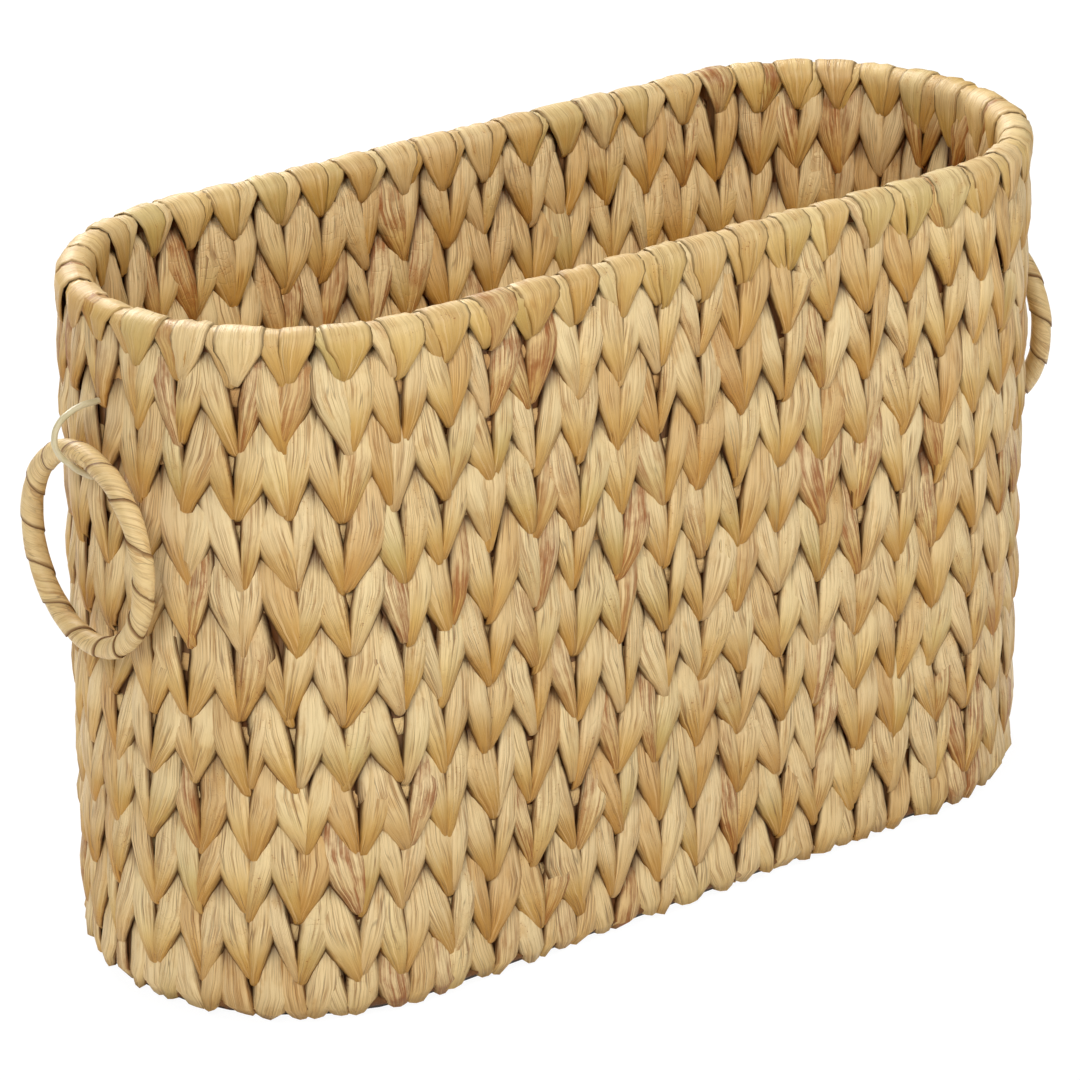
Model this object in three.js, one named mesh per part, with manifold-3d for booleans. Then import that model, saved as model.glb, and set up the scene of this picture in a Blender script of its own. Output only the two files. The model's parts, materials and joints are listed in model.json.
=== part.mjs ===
// Oval arrow-weave magazine basket: leaf strands on a wire frame, with two leaf-wrapped ring
// handles that hang in cane loops. Millimetres, +Z up, +X along the basket, front at -Y.
// The origin is on the floor under the middle of the basket.

import * as THREE from 'three';
import { mergeVertices } from 'three/addons/utils/BufferGeometryUtils.js';
import Module from 'manifold-3d';

const wasm = await Module();
wasm.setup();

// Woven body over its leaves
const bodyLength = 436;
const bodyWidth = 175;
const bodyHeight = 282;

// Clearances
const pieceGap = 0.3;
const strandGap = 0.4;
const baseEdgeGap = 0.4;

// Wire frame: hoops and row rods go round the basket, frame wires stand behind them
const rimHoopRadius = 2.5;
const footHoopRadius = 2;
const rowRodRadius = 2;
const frameWireRadius = 1.2;
const crossWireSpacing = 72;
const crossWireBend = 4;
const endUprightColumnShare = 3.5;

// Leaf thickness of the wall round the hollow that holds the frame
const outerSheet = 2.85;
const innerSheet = 2.25;
const rimSheet = 2.4;
const footSheet = 2.6;
const rimRadius = 5.6;
const footRadius = 7;
const footInset = 0.3;
const innerFootBevel = 2;

// Arrow weave: V-shaped pairs of leaves in columns and rows
const columnPitch = 20.6;
const columnsPerStrand = 2;
const rowPitch = 27.1;
const firstRowDrop = 21.1;
const lowestTip = 15;
const vRise = 12;
const bladeStep = 1.6;
const bladeStepHeight = 1.2;
const innerBladeStep = 1.4;
const flatInnerRows = 3;
const rodBelowTip = 5;

// Woven base
const baseThickness = 8;
const baseStrandCount = 7;

// Cane loops, each round one row rod at the middle of an end. The right one hangs lower.
const caneRadius = 1.15;
const caneEndGap = 0.6;
const caneBend = 3;
const loopReach = 19.5;
const loopRow = 1;
const leftLoopAboveRod = 14.9;
const leftLoopBelowRod = 14.9;
const rightLoopAboveRod = 7.2;
const rightLoopBelowRod = 22.6;

// Ring handles
const ringRadius = 38;
const ringCoreRadius = 2.4;
const wrapLooseness = 0.8;
const wrapThickness = 1.15;
const wrapEdgeStep = 0.3;
const wrapGap = 0.6;
const wrapTurns = 14;

// Faceting counts
const wireSides = 6;
const rodSides = 4;
const wireHoleSegments = 4;
const bendSteps = 2;
const archSteps = 4;
const footSteps = 3;
const caneSteps = 25;
const coreSides = 6;
const coreSteps = 20;
const wrapStepsPerTurn = 6;
const baseEdgeSegments = 8;

// Sizes that follow from the ones above
const endRadius = bodyWidth / 2;
const straightHalf = bodyLength / 2 - endRadius;
const quarterArc = (Math.PI * endRadius) / 2;
const perimeter = 4 * quarterArc + 4 * straightHalf;
const strandsPerSide = Math.round(perimeter / (2 * columnsPerStrand * columnPitch));
const strandCount = 2 * strandsPerSide;
const strandWidth = perimeter / strandCount;
const columnCount = strandCount * columnsPerStrand;
const columnWidth = perimeter / columnCount;

// Places across the wall: 0 is the outer face, and n grows outwards
const hoopLane = 2 * Math.max(rowRodRadius, footHoopRadius);
const hollowOuter = -outerSheet;
const rodPlace = hollowOuter - pieceGap - rowRodRadius;
const footHoopPlace = hollowOuter - pieceGap - footHoopRadius;
const wirePlace = hollowOuter - pieceGap - hoopLane - pieceGap - frameWireRadius;
const hollowInner = wirePlace - frameWireRadius - pieceGap;
const innerFace = hollowInner - innerSheet;
const rimMiddle = innerFace / 2;

// The hollow runs straight between columns, so at the middle of an end it lies further in
const chordSag = (endRadius + hollowInner) * (1 - Math.cos(columnWidth / 2 / endRadius));
const loopPlace = wirePlace - chordSag;

// Heights
const rimHoopHeight = bodyHeight - rimSheet - pieceGap - rimHoopRadius;
const wireTop = rimHoopHeight - rimHoopRadius - pieceGap;
const footHoopHeight = footSheet + pieceGap + footHoopRadius;
const wireBottom = footSheet + pieceGap;
const crossWireHeight = wireBottom + frameWireRadius;
const rowCount = Math.floor((bodyHeight - firstRowDrop - lowestTip) / rowPitch) + 1;
const innerRowCount = rowCount - flatInnerRows;
const tipHeight = (row) => bodyHeight - firstRowDrop - row * rowPitch;
const rodHeight = (row) => tipHeight(row) - rodBelowTip;

const wrapInner = ringCoreRadius + wrapLooseness;
const wrapOuter = wrapInner + wrapThickness;

// A point of the oval plan: s runs along the outer face from the middle of the left end,
// first along the front, and n steps outwards from that face.
function planPoint(s, n, z) {
  const along = ((s % perimeter) + perimeter) % perimeter;
  const frontEnd = quarterArc + 2 * straightHalf;
  const rightEnd = frontEnd + 2 * quarterArc;
  const backEnd = rightEnd + 2 * straightHalf;
  const reach = endRadius + n;
  if (along > quarterArc && along < frontEnd) {
    return new THREE.Vector3(along - quarterArc - straightHalf, -reach, z);
  }
  if (along > rightEnd && along < backEnd) {
    return new THREE.Vector3(straightHalf - (along - rightEnd), reach, z);
  }
  const onRight = along >= frontEnd && along <= rightEnd;
  const arcStart = onRight ? frontEnd + quarterArc : along >= backEnd ? perimeter : 0;
  const angle = (onRight ? 0 : Math.PI) + (along - arcStart) / endRadius;
  const centre = onRight ? straightHalf : -straightHalf;
  return new THREE.Vector3(centre + reach * Math.cos(angle), reach * Math.sin(angle), z);
}

function onStraight(s) {
  const along = ((s % perimeter) + perimeter) % perimeter;
  const front = along > quarterArc && along < quarterArc + 2 * straightHalf;
  const back = along > perimeter / 2 + quarterArc && along < perimeter - quarterArc;
  return front || back;
}

// Geometry with its faces pointing out
function facingOut(positions, faces) {
  const geometry = new THREE.BufferGeometry();
  geometry.setAttribute('position', new THREE.Float32BufferAttribute(positions, 3));
  let volume = 0;
  const a = new THREE.Vector3();
  const b = new THREE.Vector3();
  const c = new THREE.Vector3();
  for (let i = 0; i < faces.length; i += 3) {
    a.fromArray(positions, 3 * faces[i]);
    b.fromArray(positions, 3 * faces[i + 1]);
    c.fromArray(positions, 3 * faces[i + 2]);
    volume += a.dot(b.cross(c));
  }
  geometry.setIndex(volume < 0 ? faces.toReversed() : faces);
  geometry.computeVertexNormals();
  return geometry;
}

function toSolid(geometry) {
  const bare = geometry.clone();
  bare.deleteAttribute('normal');
  bare.deleteAttribute('uv');
  const merged = mergeVertices(bare);
  return new wasm.Manifold(new wasm.Mesh({
    numProp: 3,
    vertProperties: new Float32Array(merged.attributes.position.array),
    triVerts: new Uint32Array(merged.index.array),
  }));
}

function toGeometry(solid) {
  const mesh = solid.getMesh();
  const geometry = new THREE.BufferGeometry();
  geometry.setAttribute('position', new THREE.BufferAttribute(mesh.vertProperties, 3));
  geometry.setIndex(new THREE.BufferAttribute(mesh.triVerts, 1));
  geometry.computeVertexNormals();
  return geometry;
}

// Faces between two rings of points that follow each other along a piece
function joinRings(faces, near, far, sides, reversed) {
  for (let side = 0; side < sides; side += 1) {
    const next = (side + 1) % sides;
    const first = [near + side, near + next, far + next];
    const second = [near + side, far + next, far + side];
    faces.push(...(reversed ? first.reverse() : first));
    faces.push(...(reversed ? second.reverse() : second));
  }
}

// The faces left when those with two corners in one place are dropped
function withoutEmptyFaces(positions, faces) {
  const corner = (i) => positions.slice(3 * faces[i], 3 * faces[i] + 3).join();
  const kept = [];
  for (let i = 0; i < faces.length; i += 3) {
    const corners = new Set([corner(i), corner(i + 1), corner(i + 2)]);
    if (corners.size === 3) {
      kept.push(...faces.slice(i, i + 3));
    }
  }
  return kept;
}

function loft(rings, closed) {
  const sides = rings[0].length;
  const positions = rings.flat().flatMap((point) => point.toArray());
  const faces = [];
  const spans = closed ? rings.length : rings.length - 1;
  for (let span = 0; span < spans; span += 1) {
    joinRings(faces, span * sides, ((span + 1) % rings.length) * sides, sides, false);
  }
  if (!closed) {
    const last = (rings.length - 1) * sides;
    for (let side = 1; side < sides - 1; side += 1) {
      faces.push(0, side + 1, side);
      faces.push(last, last + side, last + side + 1);
    }
  }
  return facingOut(positions, faces);
}

// A round bar along points that lie in one plane, with the plane's normal across
function bar(points, radius, across) {
  const rings = points.map((point, i) => {
    const before = points[Math.max(i - 1, 0)];
    const after = points[Math.min(i + 1, points.length - 1)];
    const arriving = new THREE.Vector3().subVectors(i > 0 ? point : after, before).normalize();
    const leaving = new THREE.Vector3().subVectors(after, i < points.length - 1 ? point : before);
    leaving.normalize();
    const along = new THREE.Vector3().addVectors(arriving, leaving).normalize();
    const mitre = 1 / along.dot(arriving);
    const side = new THREE.Vector3().crossVectors(across, along);
    return Array.from({ length: wireSides }, (unused, corner) => {
      const angle = (2 * Math.PI * corner) / wireSides;
      return point.clone()
        .addScaledVector(side, radius * mitre * Math.cos(angle))
        .addScaledVector(across, radius * Math.sin(angle));
    });
  });
  return loft(rings, false);
}

// Hoop or rod inside the wall. Its corners lie on the lines that the strands' hollows use.
function hoop(place, height, radius, sides) {
  const stations = [];
  for (let i = 0; i < columnCount; i += 1) {
    const s = i * columnWidth - columnWidth / 2;
    const collinear = onStraight(s - columnWidth) && onStraight(s) && onStraight(s + columnWidth);
    if (!collinear) {
      stations.push(s);
    }
  }
  const rings = stations.map((s) => Array.from({ length: sides }, (unused, corner) => {
    const angle = (2 * Math.PI * corner) / sides;
    return planPoint(s, place + radius * Math.cos(angle), height + radius * Math.sin(angle));
  }));
  return loft(rings, true);
}

// Outline of a strand across the wall, down the outside, under the foot, up the inside and
// over the rim. On the outside each leaf ends in a step that stands proud of the row below. On
// the inside it does so on the lines of the V bottoms. At the edge of a column the inside lies
// back, and the two points of a step fall together. The lowest rows of the inside lie flat.
function strandOutline(onColumnEdge) {
  const points = [];
  const rise = onColumnEdge ? vRise : 0;
  const innerStepHeight = onColumnEdge ? 0 : bladeStepHeight;
  const innerCrest = onColumnEdge ? innerFace + innerBladeStep : innerFace;
  const archHeight = bodyHeight - rimRadius;
  points.push(new THREE.Vector2(rimMiddle + rimRadius, archHeight));
  for (let row = 0; row < rowCount; row += 1) {
    const tip = tipHeight(row) + rise;
    points.push(new THREE.Vector2(0, tip));
    points.push(new THREE.Vector2(-bladeStep, tip - bladeStepHeight));
  }
  for (let step = 0; step <= footSteps; step += 1) {
    const angle = (Math.PI / 2) * (step / footSteps);
    points.push(new THREE.Vector2(
      -footInset - footRadius * (1 - Math.cos(angle)),
      footRadius * (1 - Math.sin(angle)),
    ));
  }
  points.push(new THREE.Vector2(innerFace + innerFootBevel, 0));
  points.push(new THREE.Vector2(innerFace, innerFootBevel));
  for (let row = innerRowCount - 1; row >= 0; row -= 1) {
    const tip = tipHeight(row) + rise;
    points.push(new THREE.Vector2(innerFace + innerBladeStep, tip - innerStepHeight));
    points.push(new THREE.Vector2(innerCrest, tip));
  }
  for (let step = 0; step < archSteps; step += 1) {
    const angle = Math.PI * (1 - step / archSteps);
    points.push(new THREE.Vector2(
      rimMiddle + rimRadius * Math.cos(angle),
      archHeight + rimRadius * Math.sin(angle),
    ));
  }
  return points;
}

// Outline of the hollow that the hoops, rods and wires pass through
function hollowOutline() {
  const shoulder = rimHoopHeight - rimHoopRadius;
  const top = bodyHeight - rimSheet;
  return [
    new THREE.Vector2(rimMiddle + rimHoopRadius, top),
    new THREE.Vector2(hollowOuter, shoulder),
    new THREE.Vector2(hollowOuter, footSheet),
    new THREE.Vector2(hollowInner, footSheet),
    new THREE.Vector2(hollowInner, shoulder),
    new THREE.Vector2(rimMiddle - rimHoopRadius, top),
  ];
}

// One strand of weave: a closed band of leaf round the frame, two V columns wide. A V points
// down at the middle of each end.
function wallStrand(index) {
  const start = index * strandWidth - columnWidth / 2 + strandGap / 2;
  const width = strandWidth - strandGap;
  const hollow = hollowOutline();
  const halves = 2 * columnsPerStrand;
  const outerLines = [];
  const hollowLines = [];
  for (let i = 0; i <= halves; i += 1) {
    const s = start + (width * i) / halves;
    const outline = strandOutline(i % 2 === 0);
    outerLines.push(outline.map((point) => planPoint(s, point.x, point.y)));
    if (i % 2 === 0) {
      hollowLines.push(hollow.map((point) => planPoint(s, point.x, point.y)));
    }
  }
  const outerSides = outerLines[0].length;
  const hollowSides = hollow.length;
  const hollowBase = outerLines.length * outerSides;
  const positions = [...outerLines, ...hollowLines].flat().flatMap((point) => point.toArray());
  const faces = [];
  for (let span = 0; span < outerLines.length - 1; span += 1) {
    joinRings(faces, span * outerSides, (span + 1) * outerSides, outerSides, false);
  }
  for (let span = 0; span < hollowLines.length - 1; span += 1) {
    const near = hollowBase + span * hollowSides;
    joinRings(faces, near, near + hollowSides, hollowSides, true);
  }
  // At the edge of a column the inside's points stand in one line. The ends are split into
  // triangles on a copy whose points bow in, so that each of these points gets its triangles.
  const outline = strandOutline(true).map((point) => {
    const share = point.y / bodyHeight;
    return new THREE.Vector2(point.x + pieceGap * share * (1 - share), point.y);
  });
  const flat = [...outline, ...hollow];
  const turn = Math.sign(THREE.ShapeUtils.area(outline));
  const farOuter = (outerLines.length - 1) * outerSides;
  const farHollow = hollowBase + (hollowLines.length - 1) * hollowSides;
  for (const triangle of THREE.ShapeUtils.triangulateShape(outline, [hollow])) {
    const same = Math.sign(THREE.ShapeUtils.area(triangle.map((i) => flat[i]))) === turn;
    const ordered = same ? triangle : triangle.toReversed();
    const far = ordered.map((i) => (i < outerSides ? farOuter + i : farHollow + i - outerSides));
    const near = ordered.map((i) => (i < outerSides ? i : hollowBase + i - outerSides));
    faces.push(...far);
    faces.push(...near.reverse());
  }
  return facingOut(positions, withoutEmptyFaces(positions, faces));
}

// Frame wire that goes down the back of the basket, under its base and up the front
function crossWire(x, radius) {
  const side = endRadius + wirePlace;
  const half = [];
  for (let step = 0; step <= bendSteps; step += 1) {
    const angle = (Math.PI / 2) * (step / bendSteps);
    const y = side - crossWireBend * (1 - Math.cos(angle));
    const z = crossWireHeight + crossWireBend * (1 - Math.sin(angle));
    half.push(new THREE.Vector3(x, y, z));
  }
  half.unshift(new THREE.Vector3(x, side, wireTop));
  const mirrored = half.toReversed().map((point) => new THREE.Vector3(x, -point.y, point.z));
  return bar([...half, ...mirrored], radius, new THREE.Vector3(1, 0, 0));
}

function endUpright(s) {
  const ends = [planPoint(s, wirePlace, wireBottom), planPoint(s, wirePlace, wireTop)];
  const across = planPoint(s, 0, 0).sub(planPoint(s, wirePlace, 0)).normalize();
  return bar(ends, frameWireRadius, across);
}

function crossWirePlaces() {
  const room = straightHalf - columnWidth;
  const count = Math.floor((2 * room) / crossWireSpacing) + 1;
  return Array.from({ length: count }, (unused, i) => (i - (count - 1) / 2) * crossWireSpacing);
}

// Base: lengthwise strands of weave pressed flat, threaded on the cross wires
function baseOutline() {
  const radius = endRadius + innerFace - baseEdgeGap;
  const outline = new THREE.Shape();
  outline.absarc(straightHalf, 0, radius, -Math.PI / 2, Math.PI / 2, false);
  outline.absarc(-straightHalf, 0, radius, Math.PI / 2, (3 * Math.PI) / 2, false);
  return new THREE.ExtrudeGeometry(outline, {
    depth: baseThickness,
    bevelEnabled: false,
    curveSegments: baseEdgeSegments,
  });
}

function baseStrand(low, high) {
  const length = 2 * (straightHalf + endRadius);
  const section = new THREE.Shape();
  section.moveTo(-length / 2, 0);
  section.lineTo(length / 2, 0);
  section.lineTo(length / 2, baseThickness);
  section.lineTo(-length / 2, baseThickness);
  for (const x of crossWirePlaces()) {
    const hole = new THREE.Path();
    hole.absarc(x, crossWireHeight, frameWireRadius + pieceGap, 0, 2 * Math.PI, true);
    section.holes.push(hole);
  }
  const strip = new THREE.ExtrudeGeometry(section, {
    depth: high - low,
    bevelEnabled: false,
    curveSegments: wireHoleSegments,
  });
  strip.rotateX(Math.PI / 2);
  strip.translate(0, high, 0);
  return toGeometry(toSolid(strip).intersect(toSolid(baseOutline())));
}

// Route of a cane loop at the middle of an end: x is the place out from the wall's outer
// face and y the height. It starts behind the row rod, comes out above it, goes round the
// ring's grip and back in below the rod.
const loopRouteShares = [
  [0.08, 0],
  [0.36, 0.005],
  [0.63, 0.055],
  [0.88, 0.16],
  [1, 0.34],
  [0.92, 0.555],
  [0.69, 0.73],
  [0.43, 0.88],
  [0.16, 0.985],
];
const seatPoint = 6.4;
const insidePoints = 3;

function loopCurve(top, bottom) {
  return new THREE.CatmullRomCurve3([
    new THREE.Vector3(loopPlace, rodHeight(loopRow) + caneEndGap / 2, 0),
    new THREE.Vector3(loopPlace, top - caneBend, 0),
    new THREE.Vector3(loopPlace + caneBend, top, 0),
    ...loopRouteShares.map(([out, down]) => new THREE.Vector3(
      out * loopReach,
      top - down * (top - bottom),
      0,
    )),
    new THREE.Vector3(loopPlace + caneBend, bottom, 0),
    new THREE.Vector3(loopPlace, bottom + caneBend, 0),
    new THREE.Vector3(loopPlace, rodHeight(loopRow) - caneEndGap / 2, 0),
  ], false, 'centripetal');
}

// The two ends: side is the way that an end faces along X
const ends = [
  {
    side: -1,
    label: 'left',
    loop: loopCurve(rodHeight(loopRow) + leftLoopAboveRod, rodHeight(loopRow) - leftLoopBelowRod),
  },
  {
    side: 1,
    label: 'right',
    loop: loopCurve(rodHeight(loopRow) + rightLoopAboveRod, rodHeight(loopRow) - rightLoopBelowRod),
  },
];

function caneLoop({ side, loop }, radius) {
  const points = loop.getSpacedPoints(caneSteps).map((point) => (
    new THREE.Vector3(side * (bodyLength / 2 + point.x), 0, point.y)
  ));
  return bar(points, radius, new THREE.Vector3(0, 1, 0));
}

// The ring hangs on the loop's lower run: its grip's middle stands off the seat by its radius.
// The seat lies between two points of the route, counted from where the loop leaves the wall.
function ringPivot(loop) {
  const seatShare = (insidePoints + seatPoint) / (loop.points.length - 1);
  const seat = loop.getPoint(seatShare);
  const run = loop.getTangent(seatShare);
  const away = wrapOuter + pieceGap + caneRadius;
  return new THREE.Vector2(seat.x + run.y * away, seat.y - run.x * away);
}

// A point of the ring's grip: turn goes round the ring, twist round the grip
function gripPoint(turn, twist, radius) {
  const reach = ringRadius + radius * Math.cos(twist);
  return new THREE.Vector3(radius * Math.sin(twist), reach * Math.cos(turn), reach * Math.sin(turn));
}

// Leaf strip wound round the ring's core, with its two ends at the bottom of the ring
function ringWrap() {
  const pitch = (2 * Math.PI) / wrapTurns;
  const gap = wrapGap / (ringRadius - wrapOuter);
  const half = (pitch - gap) / 2;
  const steps = (wrapTurns - 1) * wrapStepsPerTurn;
  const rings = [];
  for (let step = 0; step <= steps; step += 1) {
    const turn = -Math.PI / 2 + pitch / 2 + (2 * Math.PI - pitch) * (step / steps);
    const twist = turn * wrapTurns;
    rings.push([
      gripPoint(turn, twist, wrapInner),
      gripPoint(turn - half, twist, wrapInner),
      gripPoint(turn - half, twist, wrapOuter - wrapEdgeStep),
      gripPoint(turn, twist, wrapOuter - wrapEdgeStep / 2),
      gripPoint(turn + half, twist, wrapOuter),
      gripPoint(turn + half, twist, wrapInner),
    ]);
  }
  return { geometry: loft(rings, false), rings };
}

// Least distance between the facing edges of neighbouring turns
function leastWrapGap(rings) {
  let least = Infinity;
  for (let i = 0; i < rings.length; i += 1) {
    for (let j = i + wrapStepsPerTurn / 2; j < rings.length; j += 1) {
      for (const leading of rings[i].slice(4)) {
        for (const trailing of rings[j].slice(1, 3)) {
          least = Math.min(least, leading.distanceTo(trailing));
        }
      }
    }
  }
  return least;
}

const leafTones = ['#cdb07a', '#c6a76c', '#d2b884', '#bfa06a', '#c9a877', '#b9a070'];

function finish(color, roughness, metalness) {
  return new THREE.MeshStandardMaterial({ color, roughness, metalness });
}

function addPiece(group, name, geometry, material) {
  const piece = new THREE.Mesh(geometry, material);
  piece.name = name;
  group.add(piece);
  return piece;
}

const basket = new THREE.Group();

function addFrame() {
  const frame = new THREE.Group();
  const wireFinish = finish('#4c4a47', 0.5, 0.9);
  const rim = hoop(rimMiddle, rimHoopHeight, rimHoopRadius, wireSides);
  const foot = hoop(footHoopPlace, footHoopHeight, footHoopRadius, wireSides);
  addPiece(frame, 'rim_hoop', rim, wireFinish);
  addPiece(frame, 'foot_hoop', foot, wireFinish);
  for (let row = 0; row < rowCount - 1; row += 1) {
    const rod = hoop(rodPlace, rodHeight(row), rowRodRadius, rodSides);
    addPiece(frame, `row_rod_${row + 1}`, rod, finish('#9a6a45', 0.8, 0));
  }
  crossWirePlaces().forEach((x, i) => {
    addPiece(frame, `cross_wire_${i + 1}`, crossWire(x, frameWireRadius), wireFinish);
  });
  const offset = endUprightColumnShare * columnWidth;
  const half = perimeter / 2;
  [-offset, offset, half - offset, half + offset].forEach((s, i) => {
    addPiece(frame, `end_upright_${i + 1}`, endUpright(s), wireFinish);
  });
  basket.add(frame);
}

function addWall() {
  const wall = new THREE.Group();
  const wireRoom = frameWireRadius + pieceGap;
  const caneRoom = caneRadius + pieceGap;
  const cutters = crossWirePlaces().map((x) => toSolid(crossWire(x, wireRoom)));
  for (const end of ends) {
    cutters.push(toSolid(caneLoop(end, caneRoom)));
  }
  for (let i = 0; i < strandCount; i += 1) {
    // Odd numbers run from the left end along the front, even ones from the right end along the back
    const place = Math.floor(i / 2) + (i % 2 === 0 ? 0 : strandsPerSide);
    let strand = wallStrand(place);
    const solid = toSolid(strand);
    const nearby = cutters.filter((cutter) => solid.intersect(cutter).volume() > 0);
    if (nearby.length > 0) {
      strand = toGeometry(nearby.reduce((left, cutter) => left.subtract(cutter), solid));
    }
    const tone = leafTones[i % leafTones.length];
    addPiece(wall, `wall_strand_${String(i + 1).padStart(2, '0')}`, strand, finish(tone, 0.65, 0));
  }
  basket.add(wall);
}

function addBase() {
  const base = new THREE.Group();
  const width = 2 * (endRadius + innerFace - baseEdgeGap);
  const pitch = width / baseStrandCount;
  for (let i = 0; i < baseStrandCount; i += 1) {
    const low = -width / 2 + i * pitch + strandGap / 2;
    const strip = baseStrand(low, low + pitch - strandGap);
    const tone = leafTones[(i + 1) % leafTones.length];
    addPiece(base, `base_strand_${i + 1}`, strip, finish(tone, 0.7, 0));
  }
  basket.add(base);
}

function addHandle(end) {
  const { side, label, loop } = end;
  addPiece(basket, `handle_loop_${label}`, caneLoop(end, caneRadius), finish('#cfc79b', 0.45, 0));
  const pivot = ringPivot(loop);
  const handle = new THREE.Group();
  const core = new THREE.TorusGeometry(ringRadius, ringCoreRadius, coreSides, coreSteps);
  core.rotateY(Math.PI / 2);
  core.rotateX(Math.PI / 2);
  addPiece(handle, `ring_core_${label}`, core, finish('#8a6f4a', 0.7, 0));
  const { geometry, rings } = ringWrap();
  addPiece(handle, `ring_wrap_${label}`, geometry, finish('#d2b684', 0.6, 0));
  handle.position.set(side * (bodyLength / 2 + pivot.x), 0, pivot.y - ringRadius);
  if (side > 0) {
    handle.rotation.z = Math.PI;
  }
  basket.add(handle);
  const centre = handle.position.toArray().map((value) => value.toFixed(3)).join(', ');
  console.log(`${label} ring centre ${centre}, least gap of its winding ${leastWrapGap(rings).toFixed(3)}`);
}

addFrame();
addWall();
addBase();
for (const end of ends) {
  addHandle(end);
}

export default basket;
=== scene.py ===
"""Oval magazine basket in arrow weave, with two leaf-wrapped ring handles in cane loops.

Everything is in metres, +Z up, +X along the basket, its front at -Y, and its origin on the floor
under the middle of the basket. Leaf pieces are laid out flat first, in leaf space: x runs along
the wall, y into the wall and z up the leaf's path. Geometry Nodes then bend them onto the wall.
"""
import json
import logging
import math
from collections.abc import Sequence
from dataclasses import dataclass, field
from enum import Enum, IntEnum

import bpy
import numpy as np
from mathutils import Matrix, Vector

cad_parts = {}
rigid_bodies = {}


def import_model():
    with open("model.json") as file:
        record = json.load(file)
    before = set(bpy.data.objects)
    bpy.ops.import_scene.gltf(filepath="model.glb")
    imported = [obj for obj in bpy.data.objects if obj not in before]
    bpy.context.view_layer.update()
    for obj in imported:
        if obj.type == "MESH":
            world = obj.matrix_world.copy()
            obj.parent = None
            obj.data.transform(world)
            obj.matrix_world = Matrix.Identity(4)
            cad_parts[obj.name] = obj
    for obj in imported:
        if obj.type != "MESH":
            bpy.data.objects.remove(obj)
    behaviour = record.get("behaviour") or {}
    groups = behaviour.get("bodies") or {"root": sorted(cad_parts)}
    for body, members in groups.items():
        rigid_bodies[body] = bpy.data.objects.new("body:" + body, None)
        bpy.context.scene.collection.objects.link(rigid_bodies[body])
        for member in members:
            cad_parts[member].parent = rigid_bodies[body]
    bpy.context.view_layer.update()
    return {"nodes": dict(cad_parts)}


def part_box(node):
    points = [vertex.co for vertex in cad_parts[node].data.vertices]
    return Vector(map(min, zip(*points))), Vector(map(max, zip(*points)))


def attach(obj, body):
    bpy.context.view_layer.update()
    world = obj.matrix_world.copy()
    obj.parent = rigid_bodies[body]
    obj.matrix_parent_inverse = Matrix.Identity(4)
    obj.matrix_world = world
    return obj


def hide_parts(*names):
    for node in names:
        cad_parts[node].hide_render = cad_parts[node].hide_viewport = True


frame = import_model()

MM = 0.001
BASKET_BODY = "basket"
log = logging.getLogger("basket")

Colour = tuple[float, float, float, float]
Value = "float | int | bool | str | tuple | Wire | bpy.types.ID"


def paint(red: int, green: int, blue: int) -> Colour:
    """Turns a colour as a screen shows it into the linear colour that shaders take.

    Args:
        red: Red, from 0 to 255.
        green: Green, from 0 to 255.
        blue: Blue, from 0 to 255.

    Returns:
        The linear colour with full alpha.
    """
    def linear(channel: int) -> float:
        """Gives one channel's linear value."""
        share = channel / 255
        return share / 12.92 if share <= 0.04045 else ((share + 0.055) / 1.055) ** 2.4

    return (linear(red), linear(green), linear(blue), 1.0)


class Wire:
    """One output socket of a node tree. Arithmetic on it adds the Math nodes."""

    def __init__(self, graph: "Graph", socket: bpy.types.NodeSocket) -> None:
        """Wraps a socket of the graph's tree."""
        self.graph = graph
        self.socket = socket

    def __add__(self, other: Value) -> "Wire":
        """Adds."""
        return self.graph.math("ADD", self, other)

    def __radd__(self, other: Value) -> "Wire":
        """Adds, with the plain value first."""
        return self.graph.math("ADD", other, self)

    def __sub__(self, other: Value) -> "Wire":
        """Subtracts."""
        return self.graph.math("SUBTRACT", self, other)

    def __rsub__(self, other: Value) -> "Wire":
        """Subtracts from a plain value."""
        return self.graph.math("SUBTRACT", other, self)

    def __mul__(self, other: Value) -> "Wire":
        """Multiplies."""
        return self.graph.math("MULTIPLY", self, other)

    def __rmul__(self, other: Value) -> "Wire":
        """Multiplies, with the plain value first."""
        return self.graph.math("MULTIPLY", other, self)

    def __truediv__(self, other: Value) -> "Wire":
        """Divides."""
        return self.graph.math("DIVIDE", self, other)

    def __neg__(self) -> "Wire":
        """Changes the sign."""
        return self.graph.math("MULTIPLY", self, -1.0)


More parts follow.
